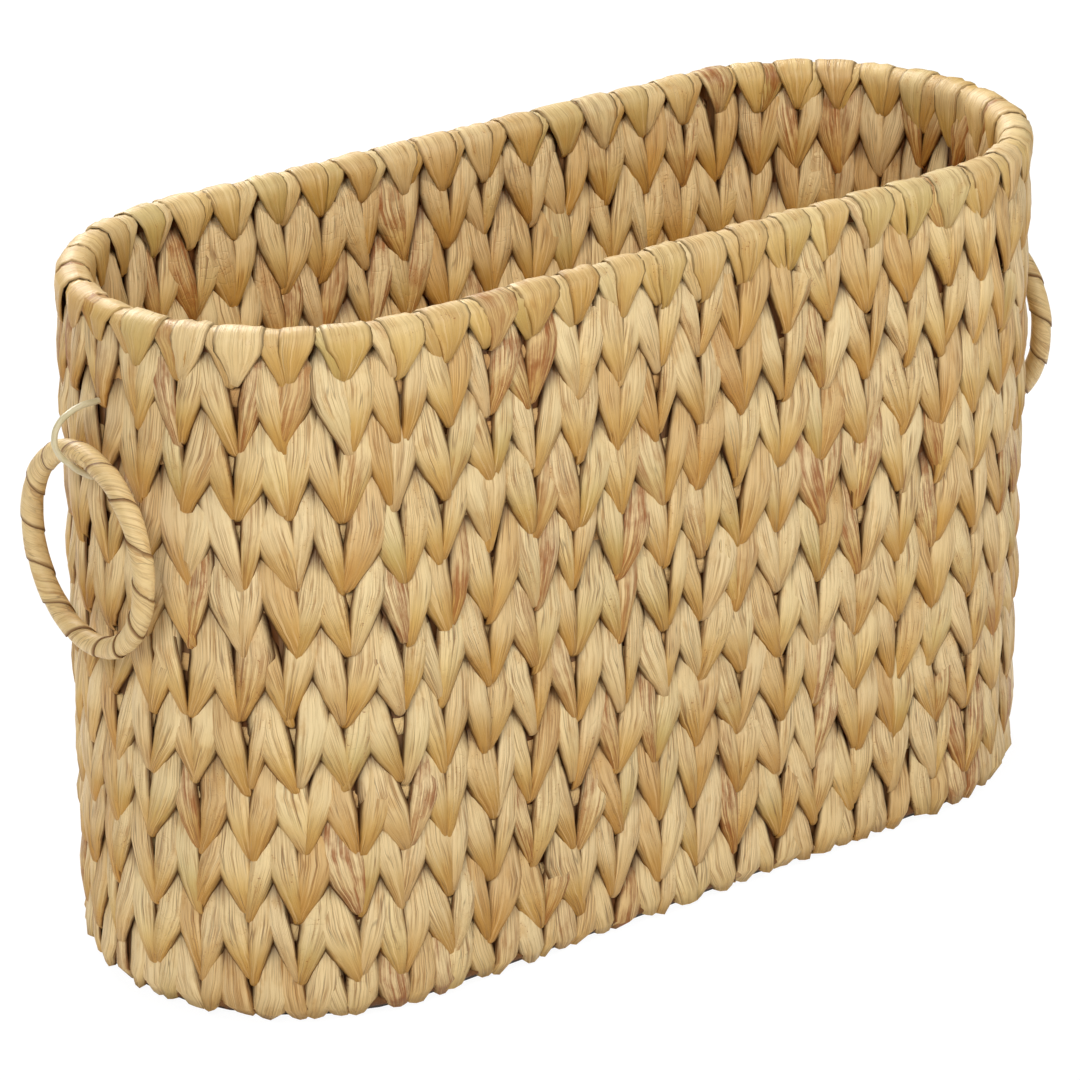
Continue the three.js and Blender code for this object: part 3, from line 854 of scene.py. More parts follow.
class WeaveTree(MakingTree):
    """What the trees of the wall's and the base's weave share."""

    DRAWS_PER_FACE = 15
    DRAWS_PER_STRAND = 50
    NOISE_APART = 3.0
    WRINKLE_SCALE = 140.0
    WRINKLES = (0.8 * MM, 1.1 * MM, 0.8 * MM)
    INPUTS = {
        "First Column": "NodeSocketInt",
        "Columns": "NodeSocketInt",
        "Rows": "NodeSocketInt",
        "Column Width": "NodeSocketFloat",
        "Row Pitch": "NodeSocketFloat",
        "First Tip": "NodeSocketFloat",
        "Seed": "NodeSocketInt",
        "Blades": "NodeSocketCollection",
        "Finish": "NodeSocketMaterial",
    }

    def __init__(self, name: str, inputs: dict[str, str], variants: int) -> None:
        """Starts the tree.

        Args:
            name: The tree's name.
            inputs: Its inputs besides the shared ones.
            variants: Shapes that each half of a V has.
        """
        super().__init__(name, self.INPUTS | inputs)
        self.variants = variants

    def random(self, low: float, high: float, salt: int, number: Wire | None = None) -> Wire:
        """Draws a number for each instance.

        Args:
            low: Lowest value.
            high: Highest value.
            salt: Added to the tree's seed.
            number: What the draw follows instead of the instance's own number.

        Returns:
            The draw.
        """
        values = {2: low, 3: high, 8: self.given["Seed"] * self.DRAWS_PER_STRAND + salt}
        if number is not None:
            values[7] = number
        return self.graph.out("FunctionNodeRandomValue", 1, {"data_type": "FLOAT"}, values)

    def jitter(self, most: float, salt: int) -> Wire:
        """Draws a number for each instance that is at most so far from zero."""
        return self.random(-most, most, salt)

    def pick(self, variants: int, salt: int) -> Wire:
        """Picks one of so many shapes for each instance."""
        return self.graph.math("FLOOR", self.random(0.0, variants - 0.001, salt))

    def place(self, points: Wire, shapes: str, position: Wire, turn: Wire, index: Wire, scale: Wire,
              salt: int) -> Wire:
        """Puts a shape on each point and makes the copies real.

        Args:
            points: The points.
            shapes: Name of the input with the shapes to pick from.
            position: Each point's place in leaf space.
            turn: Its turn, as Euler angles.
            index: Which shape it gets.
            scale: Scale of the shape.
            salt: Added to the tree's seed for the leaves' own draw.

        Returns:
            The realised leaves, each with its own draw in leaf_kind.
        """
        graph = self.graph
        stock_of = graph.out("GeometryNodeCollectionInfo", 0, None, {
            "Collection": self.given[shapes], "Separate Children": True, "Reset Children": True})
        set_place = graph.out("GeometryNodeSetPosition", 0, None, {"Geometry": points, "Position": position})
        turned = graph.out("FunctionNodeEulerToRotation", 0, None, {0: turn})
        made = graph.out("GeometryNodeInstanceOnPoints", 0, None, {
            "Points": set_place, "Instance": stock_of, "Pick Instance": True, "Instance Index": index,
            "Rotation": turned, "Scale": scale})
        draw = graph.out("FunctionNodeRandomValue", 0, {"data_type": "FLOAT_VECTOR"},
                         {0: (0.0,) * 3, 1: (1.0,) * 3, 8: self.given["Seed"] * self.DRAWS_PER_STRAND + salt})
        return graph.out("GeometryNodeRealizeInstances", 0, None,
                         {0: self.keep(made, "leaf_kind", draw, "INSTANCE")})

    def draw_up(self, s: Wire, tip: Wire) -> Value:
        """How far a V bottom is drawn up; nothing unless a tree says otherwise."""
        return 0.0

    def blades(self, first_row: int, face: Face) -> Wire:
        """Lays out the V's of one face.

        Args:
            first_row: First row that blades make.
            face: Which face it is.

        Returns:
            The realised blades in leaf space.
        """
        graph, given, work = self.graph, self.given, BLADE_WORK
        salt = self.DRAWS_PER_FACE * face.value
        number = graph.out("GeometryNodeInputIndex", 0)
        side = graph.math("MODULO", number, 2.0)
        pair = graph.math("FLOOR", number / 2)
        row = graph.math("FLOORED_MODULO", pair, given["Rows"])
        column = graph.math("FLOOR", pair / given["Rows"])
        points = graph.out("GeometryNodePoints", 0, None,
                           {"Count": given["Rows"] * given["Columns"] * 2})
        s = (given["First Column"] + column) * given["Column Width"]
        tip = given["First Tip"] - (row + first_row) * given["Row Pitch"]
        grain_along, grain_up = work.sway_grain
        place = graph.vector(s * grain_along, tip * grain_up, self.NOISE_APART * face.value)
        sway_s, sway_tip, sway_turn = graph.parts(graph.noise(place, 1.0, 2.0, 0.5, "Color"))
        s = s + (sway_s - 0.5) * work.sway_along + self.jitter(work.jitter_along, salt + Draw.ALONG)
        shift = (sway_tip - 0.5) * work.sway_up + self.jitter(work.jitter_up, salt + Draw.UP)
        way = tip + shift + self.draw_up(s, tip)
        depth = self.jitter(work.jitter_depth, salt + Draw.DEPTH)
        uneven = self.random(-1.0, 1.0, salt + Draw.PAIR, pair)
        s = s + uneven * (work.pair_shift_share * given["Column Width"])
        turn = (sway_turn - 0.5) * work.sway_turn + self.jitter(work.jitter_turn, salt + Draw.TURN)
        turns = graph.vector(0.0, turn, 0.0)
        if face is Face.BACK_TURNED:
            way = given["Fold"] - way
            turns = graph.vector(0.0, turn + math.pi, 0.0)
        if face is Face.BACK_FLIPPED:
            depth = given["Thickness"] - depth
            turns = graph.vector(0.0, turn, math.pi)
        pick = self.pick(self.variants, salt + Draw.SHAPE)
        width = self.random(*work.widths, salt + Draw.WIDTH) + uneven * (0.5 - side) * work.pair_width_share
        scale = graph.vector(width, self.random(*work.thicknesses, salt + Draw.THICKNESS),
                             self.random(*work.lengths, salt + Draw.LENGTH))
        return self.place(points, "Blades", graph.vector(s, depth, way), turns,
                          side * self.variants + pick, scale, salt + Draw.KIND)

    def wrinkled(self, layers: Sequence[Wire]) -> Wire:
        """Joins the layers and keeps where the leaves lie before they are bent.

        Args:
            layers: What is joined.

        Returns:
            The layers with their points moved a little.
        """
        graph = self.graph
        joined = graph.node("GeometryNodeJoinGeometry")
        for layer in reversed(layers):
            self.tree.links.new(layer.socket, joined.inputs[0])
        flat = graph.out("GeometryNodeInputPosition", 0)
        shakes = graph.parts(graph.noise(flat, self.WRINKLE_SCALE, 1.0, 0.5, "Color"))
        move = graph.vector(*((shake - 0.5) * most for shake, most in zip(shakes, self.WRINKLES)))
        moved = graph.out("GeometryNodeSetPosition", 0, None,
                          {"Geometry": Wire(graph, joined.outputs[0]), "Offset": move})
        return self.keep(moved, "leaf_lie", graph.out("GeometryNodeInputPosition", 0))

    def backing(self) -> Wire:
        """Lays the hidden layer behind the blades."""
        graph, given = self.graph, self.given
        slab = graph.out("GeometryNodeObjectInfo", "Geometry", None, {"Object": given["Backing"]})
        moved = graph.vector(given["First Column"] * given["Column Width"], 0.0, 0.0)
        return graph.out("GeometryNodeTransform", 0, None, {"Geometry": slab, "Translation": moved})


class WallWeaveTree(WeaveTree):
    """Weaves one strand of the wall: blades, rim bands and the layer behind them."""

    BAND_NOISE_PLACE = 7.0
    BAND_OVERLAP = 0.9 * MM
    DRAW_UP_REACH = (26 * MM, 34 * MM)
    DENT_REACH = (16 * MM, 11 * MM)
    MORE_INPUTS = {
        "Fold": "NodeSocketFloat",
        "Path Start": "NodeSocketFloat",
        "Perimeter": "NodeSocketFloat",
        "Draw-up": "NodeSocketFloat",
        "Draw-up Height": "NodeSocketFloat",
        "Dent": "NodeSocketFloat",
        "Dent Height": "NodeSocketFloat",
        "Rim Bands": "NodeSocketCollection",
        "Backing": "NodeSocketObject",
        "Plan": "NodeSocketObject",
        "Path": "NodeSocketObject",
    }

    def __init__(self, variants: int, band_variants: int) -> None:
        """Builds the tree.

        Args:
            variants: Shapes that each half of a V has.
            band_variants: Shapes that the rim bands have.
        """
        super().__init__("wall_weave", self.MORE_INPUTS, variants)
        self.band_variants = band_variants
        walls = [self.blades(1, Face.FRONT), self.blades(1, Face.BACK_TURNED)]
        layers = [*walls, self.rim_bands(), self.backing()]
        self.close(self.bent(self.wrinkled(layers)))

    def end_hill(self, s: Wire, height: Wire, top: str, half_width: float, half_height: float) -> Wire:
        """Makes a smooth hill of height 1 at the middle of each end.

        Args:
            s: Way round the wall.
            height: Height above the floor.
            top: Name of the input with the hill's own height above the floor.
            half_width: Where it falls away along the wall.
            half_height: Where it falls away upwards and downwards.

        Returns:
            The hill's value, 0 to 1.
        """
        graph = self.graph
        half = self.given["Perimeter"] / 2
        wide = graph.math("WRAP", s, half / 2, half / -2) / half_width
        tall = (height - self.given[top]) / half_height
        return graph.math("EXPONENT", -(wide * wide + tall * tall))

    def draw_up(self, s: Wire, tip: Wire) -> Value:
        """How far the weave is drawn up round the cane loop at the middle of an end."""
        return self.given["Draw-up"] * self.end_hill(s, tip, "Draw-up Height", *self.DRAW_UP_REACH)

    def rim_bands(self) -> Wire:
        """Lays out the bands over the rim.

        Returns:
            The realised bands in leaf space.
        """
        graph, given, work = self.graph, self.given, BAND_WORK
        number = graph.out("GeometryNodeInputIndex", 0)
        side = graph.math("MODULO", number, 2.0)
        column = graph.math("FLOOR", number / 2)
        points = graph.out("GeometryNodePoints", 0, None, {"Count": given["Columns"] * 2})
        s = (given["First Column"] + column) * given["Column Width"]
        place = graph.vector(s * work.sway_grain[0], self.BAND_NOISE_PLACE, 0.0)
        sway_s, sway_tip, sway_turn = graph.parts(graph.noise(place, 1.0, 1.0, 0.5, "Color"))
        way = given["First Tip"] + (sway_tip - 0.5) * work.sway_up + self.jitter(work.jitter_up, Draw.BAND_UP)
        way = way + self.draw_up(s, given["First Tip"])
        pick = side * self.band_variants + self.pick(self.band_variants, Draw.BAND_SHAPE)
        scale = graph.vector(self.random(*work.widths, Draw.BAND_WIDTH),
                             self.random(*work.thicknesses, Draw.BAND_THICKNESS), 1.0)
        depth = self.jitter(work.jitter_depth, Draw.BAND_DEPTH) + (0.5 - side) * self.BAND_OVERLAP
        position = graph.vector(s + (sway_s - 0.5) * work.sway_along, depth, way)
        turn = graph.vector(0.0, (sway_turn - 0.5) * work.sway_turn, 0.0)
        return self.place(points, "Rim Bands", position, turn, pick, scale, Draw.BAND_KIND)

    def bent(self, leaves: Wire) -> Wire:
        """Bends leaves from leaf space onto the plan and the path.

        Args:
            leaves: The leaves in leaf space.

        Returns:
            The leaves on the basket.
        """
        graph, given = self.graph, self.given
        s, depth, way = graph.parts(graph.out("GeometryNodeInputPosition", 0))
        plan = self.sample("Plan", graph.math("FLOORED_MODULO", s, given["Perimeter"]))
        path = self.sample("Path", way + given["Path Start"])
        plan_x, plan_y = graph.parts(plan[0])[:2]
        along_x, along_y = graph.parts(plan[1])[:2]
        path_depth, path_height = graph.parts(path[0])[::2]
        run_depth, run_height = graph.parts(path[1])[::2]
        dent = given["Dent"] * self.end_hill(s, path_height, "Dent Height", *self.DENT_REACH)
        inwards = path_depth + depth * run_height + dent * graph.math("MAXIMUM", run_height, 0.0)
        height = path_height - depth * run_depth
        position = graph.vector(plan_x - along_y * inwards, plan_y + along_x * inwards, height)
        return graph.out("GeometryNodeSetPosition", 0, None, {"Geometry": leaves, "Position": position})

    def sample(self, line: str, way: Wire) -> tuple[Wire, Wire]:
        """Reads a curve's position and direction at a way along it."""
        graph = self.graph
        curve = graph.out("GeometryNodeObjectInfo", "Geometry", None, {"Object": self.given[line]})
        made = graph.node("GeometryNodeSampleCurve", {"mode": "LENGTH"}, {"Curves": curve, "Length": way})
        return Wire(graph, made.outputs["Position"]), Wire(graph, made.outputs["Tangent"])


class BaseWeaveTree(WeaveTree):
    """Weaves one strand of the base, flat, with V's on both faces."""

    MORE_INPUTS = {
        "Thickness": "NodeSocketFloat",
        "Middle": "NodeSocketFloat",
        "Top": "NodeSocketFloat",
        "Bottom": "NodeSocketFloat",
        "Straight Half": "NodeSocketFloat",
        "End Radius": "NodeSocketFloat",
        "Tuck": "NodeSocketFloat",
        "Backing": "NodeSocketObject",
    }

    def __init__(self, variants: int) -> None:
        """Builds the tree for blades of which each half of a V has so many shapes."""
        super().__init__("base_weave", self.MORE_INPUTS, variants)
        layers = [self.blades(0, Face.FRONT), self.blades(0, Face.BACK_FLIPPED), self.backing()]
        self.close(self.laid(self.wrinkled(layers)))

    def laid(self, leaves: Wire) -> Wire:
        """Lays the strand along the basket and tucks its leaf ends in at the base's outline.

        Args:
            leaves: The strand in leaf space.

        Returns:
            The strand in its place.
        """
        graph, given = self.graph, self.given
        across, depth, way = graph.parts(graph.out("GeometryNodeInputPosition", 0))
        y = given["Middle"] - across
        radius = given["End Radius"]
        chord = graph.math("SQRT", graph.math("MAXIMUM", radius * radius - y * y, 0.0))
        edge = given["Straight Half"] + chord - given["Tuck"]
        beyond = graph.math("MAXIMUM", graph.math("ABSOLUTE", way) - edge, 0.0)
        tucked = given["Tuck"] * (1 - graph.math("EXPONENT", -beyond / given["Tuck"]))
        reach = (graph.math("MINIMUM", graph.math("ABSOLUTE", way), edge) + tucked) * graph.math("SIGN", way)
        height = graph.math("MAXIMUM", given["Top"] - depth, given["Bottom"])
        position = graph.vector(reach, y, height)
        return graph.out("GeometryNodeSetPosition", 0, None, {"Geometry": leaves, "Position": position})


class WoundBarTree(MakingTree):
    """Sweeps a section along a route, for the row rods and the cane loops."""

    INPUTS = {
        "Route": "NodeSocketObject",
        "Section": "NodeSocketObject",
        "Sway": "NodeSocketFloat",
        "Sway Scale": "NodeSocketFloat",
        "Upright": "NodeSocketVector",
        "Kind": "NodeSocketVector",
        "Finish": "NodeSocketMaterial",
    }

    def __init__(self) -> None:
        """Builds the tree."""
        super().__init__("wound_bar", self.INPUTS)
        graph, given = self.graph, self.given
        lines = []
        for label, output in (("Route", "Length"), ("Section", "Factor")):
            curve = graph.out("GeometryNodeObjectInfo", "Geometry", None, {"Object": given[label]})
            way = graph.out("GeometryNodeSplineParameter", output)
            lines.append(self.keep(curve, f"{label.lower()}_way", graph.vector(way, 0.0, 0.0)))
        route = graph.out("GeometryNodeSetCurveNormal", 0, {"mode": "FREE"},
                          {"Curve": lines[0], "Normal": given["Upright"]})
        swept = graph.out("GeometryNodeCurveToMesh", 0, None,
                          {"Curve": route, "Profile Curve": lines[1], "Fill Caps": True})
        along = graph.parts(self.kept("route_way"))[0]
        around = graph.parts(self.kept("section_way"))[0]
        swept = self.keep(swept, "leaf_grid", graph.vector(around * 2 - 1, along / MM, 0.0))
        swept = self.keep(swept, "leaf_kind", given["Kind"])
        place = graph.out("GeometryNodeInputPosition", 0)
        shakes = graph.parts(graph.noise(place, given["Sway Scale"], 1.0, 0.5, "Color"))
        move = graph.vector(*((shake - 0.5) * given["Sway"] for shake in shakes))
        self.close(graph.out("GeometryNodeSetPosition", 0, None, {"Geometry": swept, "Offset": move}))


class WoundRingTree(MakingTree):
    """Winds a flat leaf strip round a ring that hangs across the end of the basket."""

    STRIP_LANES = 8
    WIDTH_SWAY = 0.35
    ANGLE_SWAY = 0.6
    CLIMB_POWER = 0.7
    LIFTS = (0.45, 0.9)
    TURN_LENGTH = 27
    TURN_START = 60.0
    LUMP_GRAIN = (1.7, 2.4)
    SWAY_GRAIN = 3.1
    TONE_GRAIN = 0.6
    TONE_PLACE = 8.0
    TONE_SHARE = 0.45
    LEAF_SEED = 0.3
    INPUTS = {
        "Centre": "NodeSocketVector",
        "Ring Radius": "NodeSocketFloat",
        "Inner Radius": "NodeSocketFloat",
        "Outer Radius": "NodeSocketFloat",
        "Strip": "NodeSocketFloat",
        "Turns": "NodeSocketInt",
        "Steps": "NodeSocketInt",
        "Overlap": "NodeSocketFloat",
        "Facing": "NodeSocketFloat",
        "Seed": "NodeSocketFloat",
        "Finish": "NodeSocketMaterial",
    }

    def __init__(self) -> None:
        """Builds the tree."""
        super().__init__("wound_ring", self.INPUTS)
        graph, given = self.graph, self.given
        strip = graph.out("GeometryNodeMeshCube", 0, None, {
            "Size": (1.0, 1.0, 1.0), "Vertices X": given["Turns"] * given["Steps"] + 1,
            "Vertices Y": self.STRIP_LANES + 1, "Vertices Z": 2})
        long, wide, thick = graph.parts(graph.out("GeometryNodeInputPosition", 0))
        turn = (long + 0.5) * given["Turns"]
        width = (wide + 0.5) * (1 + given["Overlap"])
        place = graph.vector(turn * self.LUMP_GRAIN[0], wide * self.LUMP_GRAIN[1], given["Seed"])
        lump_width, lump_rise = graph.parts(graph.noise(place, 1.0, 2.0, 0.5, "Color"))[:2]
        place = graph.vector(graph.math("FLOOR", turn) * self.SWAY_GRAIN, 0.0, given["Seed"])
        sway = graph.noise(place, 1.0, 1.0)
        angle = (turn + width + (lump_width - 0.5) * self.WIDTH_SWAY) * (2 * math.pi) / given["Turns"]
        around = turn * (2 * math.pi) + (sway - 0.5) * self.ANGLE_SWAY
        room = given["Outer Radius"] - given["Inner Radius"] - given["Strip"]
        climb = graph.math("POWER", width / (1 + given["Overlap"]), self.CLIMB_POWER)
        lift = self.LIFTS[0] + lump_rise * self.LIFTS[1]
        radius = given["Inner Radius"] + given["Strip"] / 2 + room * climb * lift
        radius = radius + thick * given["Strip"]
        out_x = radius * graph.math("SINE", around)
        reach = given["Ring Radius"] + radius * graph.math("COSINE", around)
        local = graph.vector(out_x * given["Facing"], reach * graph.math("SINE", angle) * given["Facing"],
                             -(reach * graph.math("COSINE", angle)))
        along = turn * self.TURN_LENGTH + self.TURN_START
        grid = graph.vector(wide * 2, along, graph.math("LESS_THAN", thick, 0.0))
        place = graph.vector(turn * self.TONE_GRAIN, self.TONE_PLACE, given["Seed"])
        kind = graph.vector(self.TONE_SHARE * graph.noise(place, 1.0, 1.0), self.LEAF_SEED, 0.0)
        kept = self.keep(self.keep(strip, "leaf_grid", grid), "leaf_kind", kind)
        position = graph.math("ADD", local, given["Centre"])
        self.close(graph.out("GeometryNodeSetPosition", 0, None, {"Geometry": kept, "Position": position}))


@dataclass(frozen=True)
class Grain:
    """A noise drawn out along a leaf.

    across and along say how close it is, per half width and per millimetre. shift is how far a
    leaf's seed moves it, and line_from where its lines start to show, from 0 to 1.
    """

    across: float
    along: float
    shift: float = 0.0
    octaves: float = 2.0
    roughness: float = 0.5
    line_from: float = 0.0


@dataclass(frozen=True)
class LeafPoint:
    """What a finish knows of a point of leaf, as the making trees have kept it.

    across goes from -1 to 1 over the leaf and along is in millimetres. tone, seed and stain are
    the leaf's own draws from 0 to 1, and depth is how far the point lies in the wall.
    """

    graph: Graph
    across: Wire
    along: Wire
    layer: Wire
    tone: Wire
    seed: Wire
    stain: Wire
    depth: Wire

    @classmethod
    def of(cls, graph: Graph) -> "LeafPoint":
        """Reads the point in a material's graph."""
        grid, kind, lie = (graph.out("ShaderNodeAttribute", "Vector", {"attribute_name": name})
                           for name in ("leaf_grid", "leaf_kind", "leaf_lie"))
        return cls(graph, *graph.parts(grid), *graph.parts(kind), graph.parts(lie)[1])

    def place(self, grain: Grain, third: Value) -> Wire:
        """Gives the place where a grain is read; third sets leaves apart."""
        across = self.across * grain.across
        if grain.shift:
            across = across + self.seed * grain.shift
        return self.graph.vector(across, self.along * grain.along, third)

    def noise(self, grain: Grain, third: Value) -> Wire:
        """Reads a grain as soft streaks."""
        return self.graph.noise(self.place(grain, third), 1.0, grain.octaves, grain.roughness)

    def lines(self, grain: Grain, third: Value) -> Wire:
        """Reads a grain as thin lines."""
        return self.graph.ridges(self.place(grain, third), grain.line_from)


@dataclass(frozen=True)
class Finish:
    """What every finish shares: a name and one Principled shader with a bumped surface.

    bump is how strong the bump is, and relief how high its pattern stands.
    """

    name: str
    bump: float = 0.6
    relief: float = 0.5 * MM

    def material(self) -> bpy.types.Material:
        """Makes the material."""
        material = bpy.data.materials.new(self.name)
        material.use_nodes = True
        self.dress(Graph(material.node_tree))
        return material

    def dress(self, graph: Graph) -> None:
        """Fills the material's graph; each finish has its own way."""
        raise NotImplementedError

    def surface(self, graph: Graph, look: dict[str, Value], height: Wire) -> None:
        """Ends the graph.

        Args:
            graph: The material's graph.
            look: The shader's inputs by name.
            height: The pattern that the surface is bumped by.
        """
        normal = graph.out("ShaderNodeBump", 0, None, {
            "Strength": self.bump, "Distance": self.relief, "Height": height})
        shader = graph.out("ShaderNodeBsdfPrincipled", 0, None, look | {"Normal": normal})
        graph.node("ShaderNodeOutputMaterial", None, {"Surface": shader})


@dataclass(frozen=True)
class LeafMarks:
    """The patterns of a leaf finish, each from 0 to 1."""

    fibre: Wire
    thread: Wire
    line: Wire
    crease: Wire
    mottle: Wire
    dent: Wire
    speck: Wire
    edge: Wire
    band: Wire


@dataclass(frozen=True)
class LeafFinish(Finish):
    """Dry water-hyacinth leaf: fibres that run along each blade, tones that differ by blade, and painted
    shade in creases, along blade outlines and deep in the wall.
    """

    name: str = "leaf_weave"
    tones: tuple[tuple[float, Colour], ...] = (
        (0.00, paint(196, 152, 77)),
        (0.18, paint(208, 169, 94)),
        (0.36, paint(216, 181, 106)),
        (0.52, paint(202, 162, 90)),
        (0.66, paint(224, 195, 125)),
        (0.78, paint(206, 164, 98)),
        (0.92, paint(198, 175, 104)),
        (1.00, paint(200, 156, 75)),
    )
    cream: Colour = paint(240, 217, 170)
    ochre: Colour = paint(194, 140, 62)
    fibre_brown: Colour = paint(148, 95, 33)
    # painted shade: the brown that creases, blade outlines and leaf deep in the wall are darkened towards
    painted_shade_brown: Colour = paint(88, 43, 4)
    stain_red: Colour = paint(146, 78, 30)
    # painted shade on the hidden backing layer
    backing_shade_brown: Colour = paint(112, 67, 24)
    fibres: Grain = Grain(7, 0.03, 60, 4.0, 0.62)
    threads: Grain = Grain(30, 0.07, 90, 3.0, 0.6)
    fine_lines: Grain = Grain(7, 0.020, 60, line_from=0.86)
    creases: Grain = Grain(2.6, 0.014, 60, line_from=0.955)
    mottles: Grain = Grain(1.6, 0.10, 0, 4.0, 0.6)
    dents: Grain = Grain(1.1, 0.22, line_from=0.90)
    dots: Grain = Grain(9, 1.1)
    patches: Grain = Grain(0.8, 0.05, 9, 1.0)
    fade: float = 1.0
    fibre_depth: float = 1.0
    stain_share: float = 0.24
    roughness: float = 0.48
    shine: float = 0.32

    def dress(self, graph: Graph) -> None:
        """Fills the material's graph.

        Args:
            graph: The graph.
        """
        leaf = LeafPoint.of(graph)
        marks = self.marks(leaf)
        base = graph.out("ShaderNodeValToRGB", "Color", {"stops": self.tones}, {"Fac": leaf.tone})
        coats = self.fading(leaf, marks) + self.fibre_coats(leaf, marks) + self.stains_and_painted_shade(leaf, marks)
        height = marks.fibre * 0.7 + marks.thread * 0.3 + marks.mottle * 0.5
        height = height - marks.line * 0.28 - marks.crease * 0.4 - marks.dent * 0.4
        roughness = self.roughness + (marks.fibre - 0.5) * 0.3 + marks.edge * 0.12 - marks.band * 0.04
        look = {
            "Base Color": graph.coats(base, coats),
            "Roughness": roughness,
            "Specular IOR Level": self.shine,
        }
        self.surface(graph, look, height)

    def marks(self, leaf: LeafPoint) -> LeafMarks:
        """Draws the patterns.

        Args:
            leaf: The point of leaf.

        Returns:
            Its patterns.
        """
        graph, tone, seed = leaf.graph, leaf.tone, leaf.seed
        band = graph.ease(leaf.layer, Layer.RIM_BAND.value - 0.4, Layer.RIM_BAND.value - 0.1)
        mottle = leaf.noise(self.mottles, seed * 40)
        dent = leaf.lines(self.dents, seed * 80)
        return LeafMarks(
            fibre=leaf.noise(self.fibres, tone * 20),
            thread=leaf.noise(self.threads, tone * 9),
            line=leaf.lines(self.fine_lines, tone * 20),
            crease=leaf.lines(self.creases, tone * 20 + 4),
            mottle=mottle,
            dent=dent * graph.ease(seed, 0.62, 0.72) * (1 - band),
            speck=graph.ease(leaf.noise(self.dots, seed * 70), 0.62, 0.70) * graph.ease(mottle, 0.50, 0.60),
            edge=graph.ease(graph.math("ABSOLUTE", leaf.across), 0.80, 1.0) * (1 - band),
            band=band)

    def fading(self, leaf: LeafPoint, marks: LeafMarks) -> list[tuple[Wire, Colour]]:
        """Fades a leaf from an ochre V bottom to a cream top, each leaf its own way.

        Args:
            leaf: The point of leaf.
            marks: Its patterns.

        Returns:
            The coats, the lowest first.
        """
        graph, band = leaf.graph, marks.band
        upper = graph.ease(leaf.along, 8.0, 28.0) * (self.fade * 0.70) * (1 - band * 0.1)
        lower = graph.ease(leaf.along, 20.0, 0.0) * (self.fade * 0.72) * (1 - band * 0.5)
        lot = graph.math("FRACT", leaf.seed * 7.31)
        return [
            (upper, self.cream),
            (lower, self.ochre),
            (graph.ease(lot, 0.30, 0.0) * 0.45, self.cream),
            (graph.ease(lot, 0.70, 1.0) * 0.45 * (1 - band * 0.6), self.ochre),
            (graph.ease(marks.mottle, 0.50, 0.74) * 0.40, self.ochre),
        ]

    def fibre_coats(self, leaf: LeafPoint, marks: LeafMarks) -> list[tuple[Wire, Colour]]:
        """Draws the fibres, the fine lines and the creases, with painted shade in the creases.

        Args:
            leaf: The point of leaf.
            marks: Its patterns.

        Returns:
            The coats, the lowest first.
        """
        graph = leaf.graph
        strength = self.fibre_depth * (1 - marks.band * 0.35)
        some = graph.ease(leaf.noise(self.patches, 6.0), 0.35, 0.6)
        return [
            (graph.ease(marks.fibre, 0.48, 0.24) * 0.45, self.cream),
            (graph.ease(marks.fibre, 0.52, 0.76) * (strength * 0.55), self.fibre_brown),
            (graph.ease(marks.thread, 0.50, 0.74) * (strength * 0.36), self.fibre_brown),
            (marks.line * some * (strength * 0.60), self.fibre_brown),
            # painted shade in the creases
            (marks.crease * some * (strength * 0.50), self.painted_shade_brown),
        ]

    def stains_and_painted_shade(self, leaf: LeafPoint, marks: LeafMarks) -> list[tuple[Wire, Colour]]:
        """Draws the edges, the stains and the specks; paints shade along each blade's outline, over what lies
        deep in the wall and on the backing layer.

        Args:
            leaf: The point of leaf.
            marks: Its patterns.

        Returns:
            The coats, the lowest first.
        """
        graph, band = leaf.graph, marks.band
        streaks = marks.fibre * 0.45 + marks.mottle * 0.35 + marks.thread * 0.2
        stained = graph.ease(leaf.stain, 1 - self.stain_share, 1.0) * graph.ease(streaks, 0.42, 0.60)
        painted_edge_shade = graph.ease(graph.math("ABSOLUTE", leaf.across), 0.78, 1.0) * (1 - band * 0.6)
        behind = graph.ease(leaf.layer, Layer.BACKING.value - 0.8, Layer.BACKING.value - 0.2) * (1 - band)
        return [
            (marks.edge * 0.40, self.ochre),
            (stained * 0.85, self.stain_red),
            (marks.speck * graph.ease(leaf.seed, 0.45, 0.8) * 0.65, self.stain_red),
            # painted shade along each blade's outline, where blades meet and tuck under
            (painted_edge_shade * 0.8, self.painted_shade_brown),
            # painted shade on leaf that lies deep in the wall
            (graph.ease(leaf.depth, 1.3 * MM, 3.6 * MM) * 0.85, self.painted_shade_brown),
            # painted shade on the backing layer behind the blades
            (behind * 0.42, self.backing_shade_brown),
        ]


@dataclass(frozen=True)
class RodFinish(Finish):
    """Rolled leaf of the row rods: a pinkish tan with close ribs across the roll."""

    name: str = "leaf_rod"
    bump: float = 0.7
    relief: float = 0.4 * MM
    tan: Colour = paint(198, 152, 92)
    straw: Colour = paint(222, 190, 132)
    rib_brown: Colour = paint(140, 92, 44)
    fibres: Grain = Grain(16, 0.1, 0, 3.0, 0.6)

    def dress(self, graph: Graph) -> None:
        """Fills the material's graph.

        Args:
            graph: The graph.
        """
        leaf = LeafPoint.of(graph)
        spread = graph.noise(graph.vector(leaf.along * 0.04, leaf.seed * 50, 0.0), 1.0, 2.0)
        slant = graph.vector(leaf.along * 1.5 + leaf.across * 5, leaf.across * 1.2, leaf.seed * 30)
        ribs = graph.noise(slant, 1.0, 4.0, 0.6)
        fibre = leaf.noise(self.fibres, leaf.seed * 20)
        base = graph.coats(self.tan, [
            (graph.ease(spread + leaf.tone * 0.2, 0.42, 0.72), self.straw),
            (graph.ease(ribs, 0.5, 0.72) * 0.7, self.rib_brown),
            (graph.ease(fibre, 0.5, 0.75) * 0.35, self.rib_brown),
        ])
        look = {"Base Color": base, "Roughness": 0.50 + ribs * 0.25}
        self.surface(graph, look, ribs + fibre * 0.5)


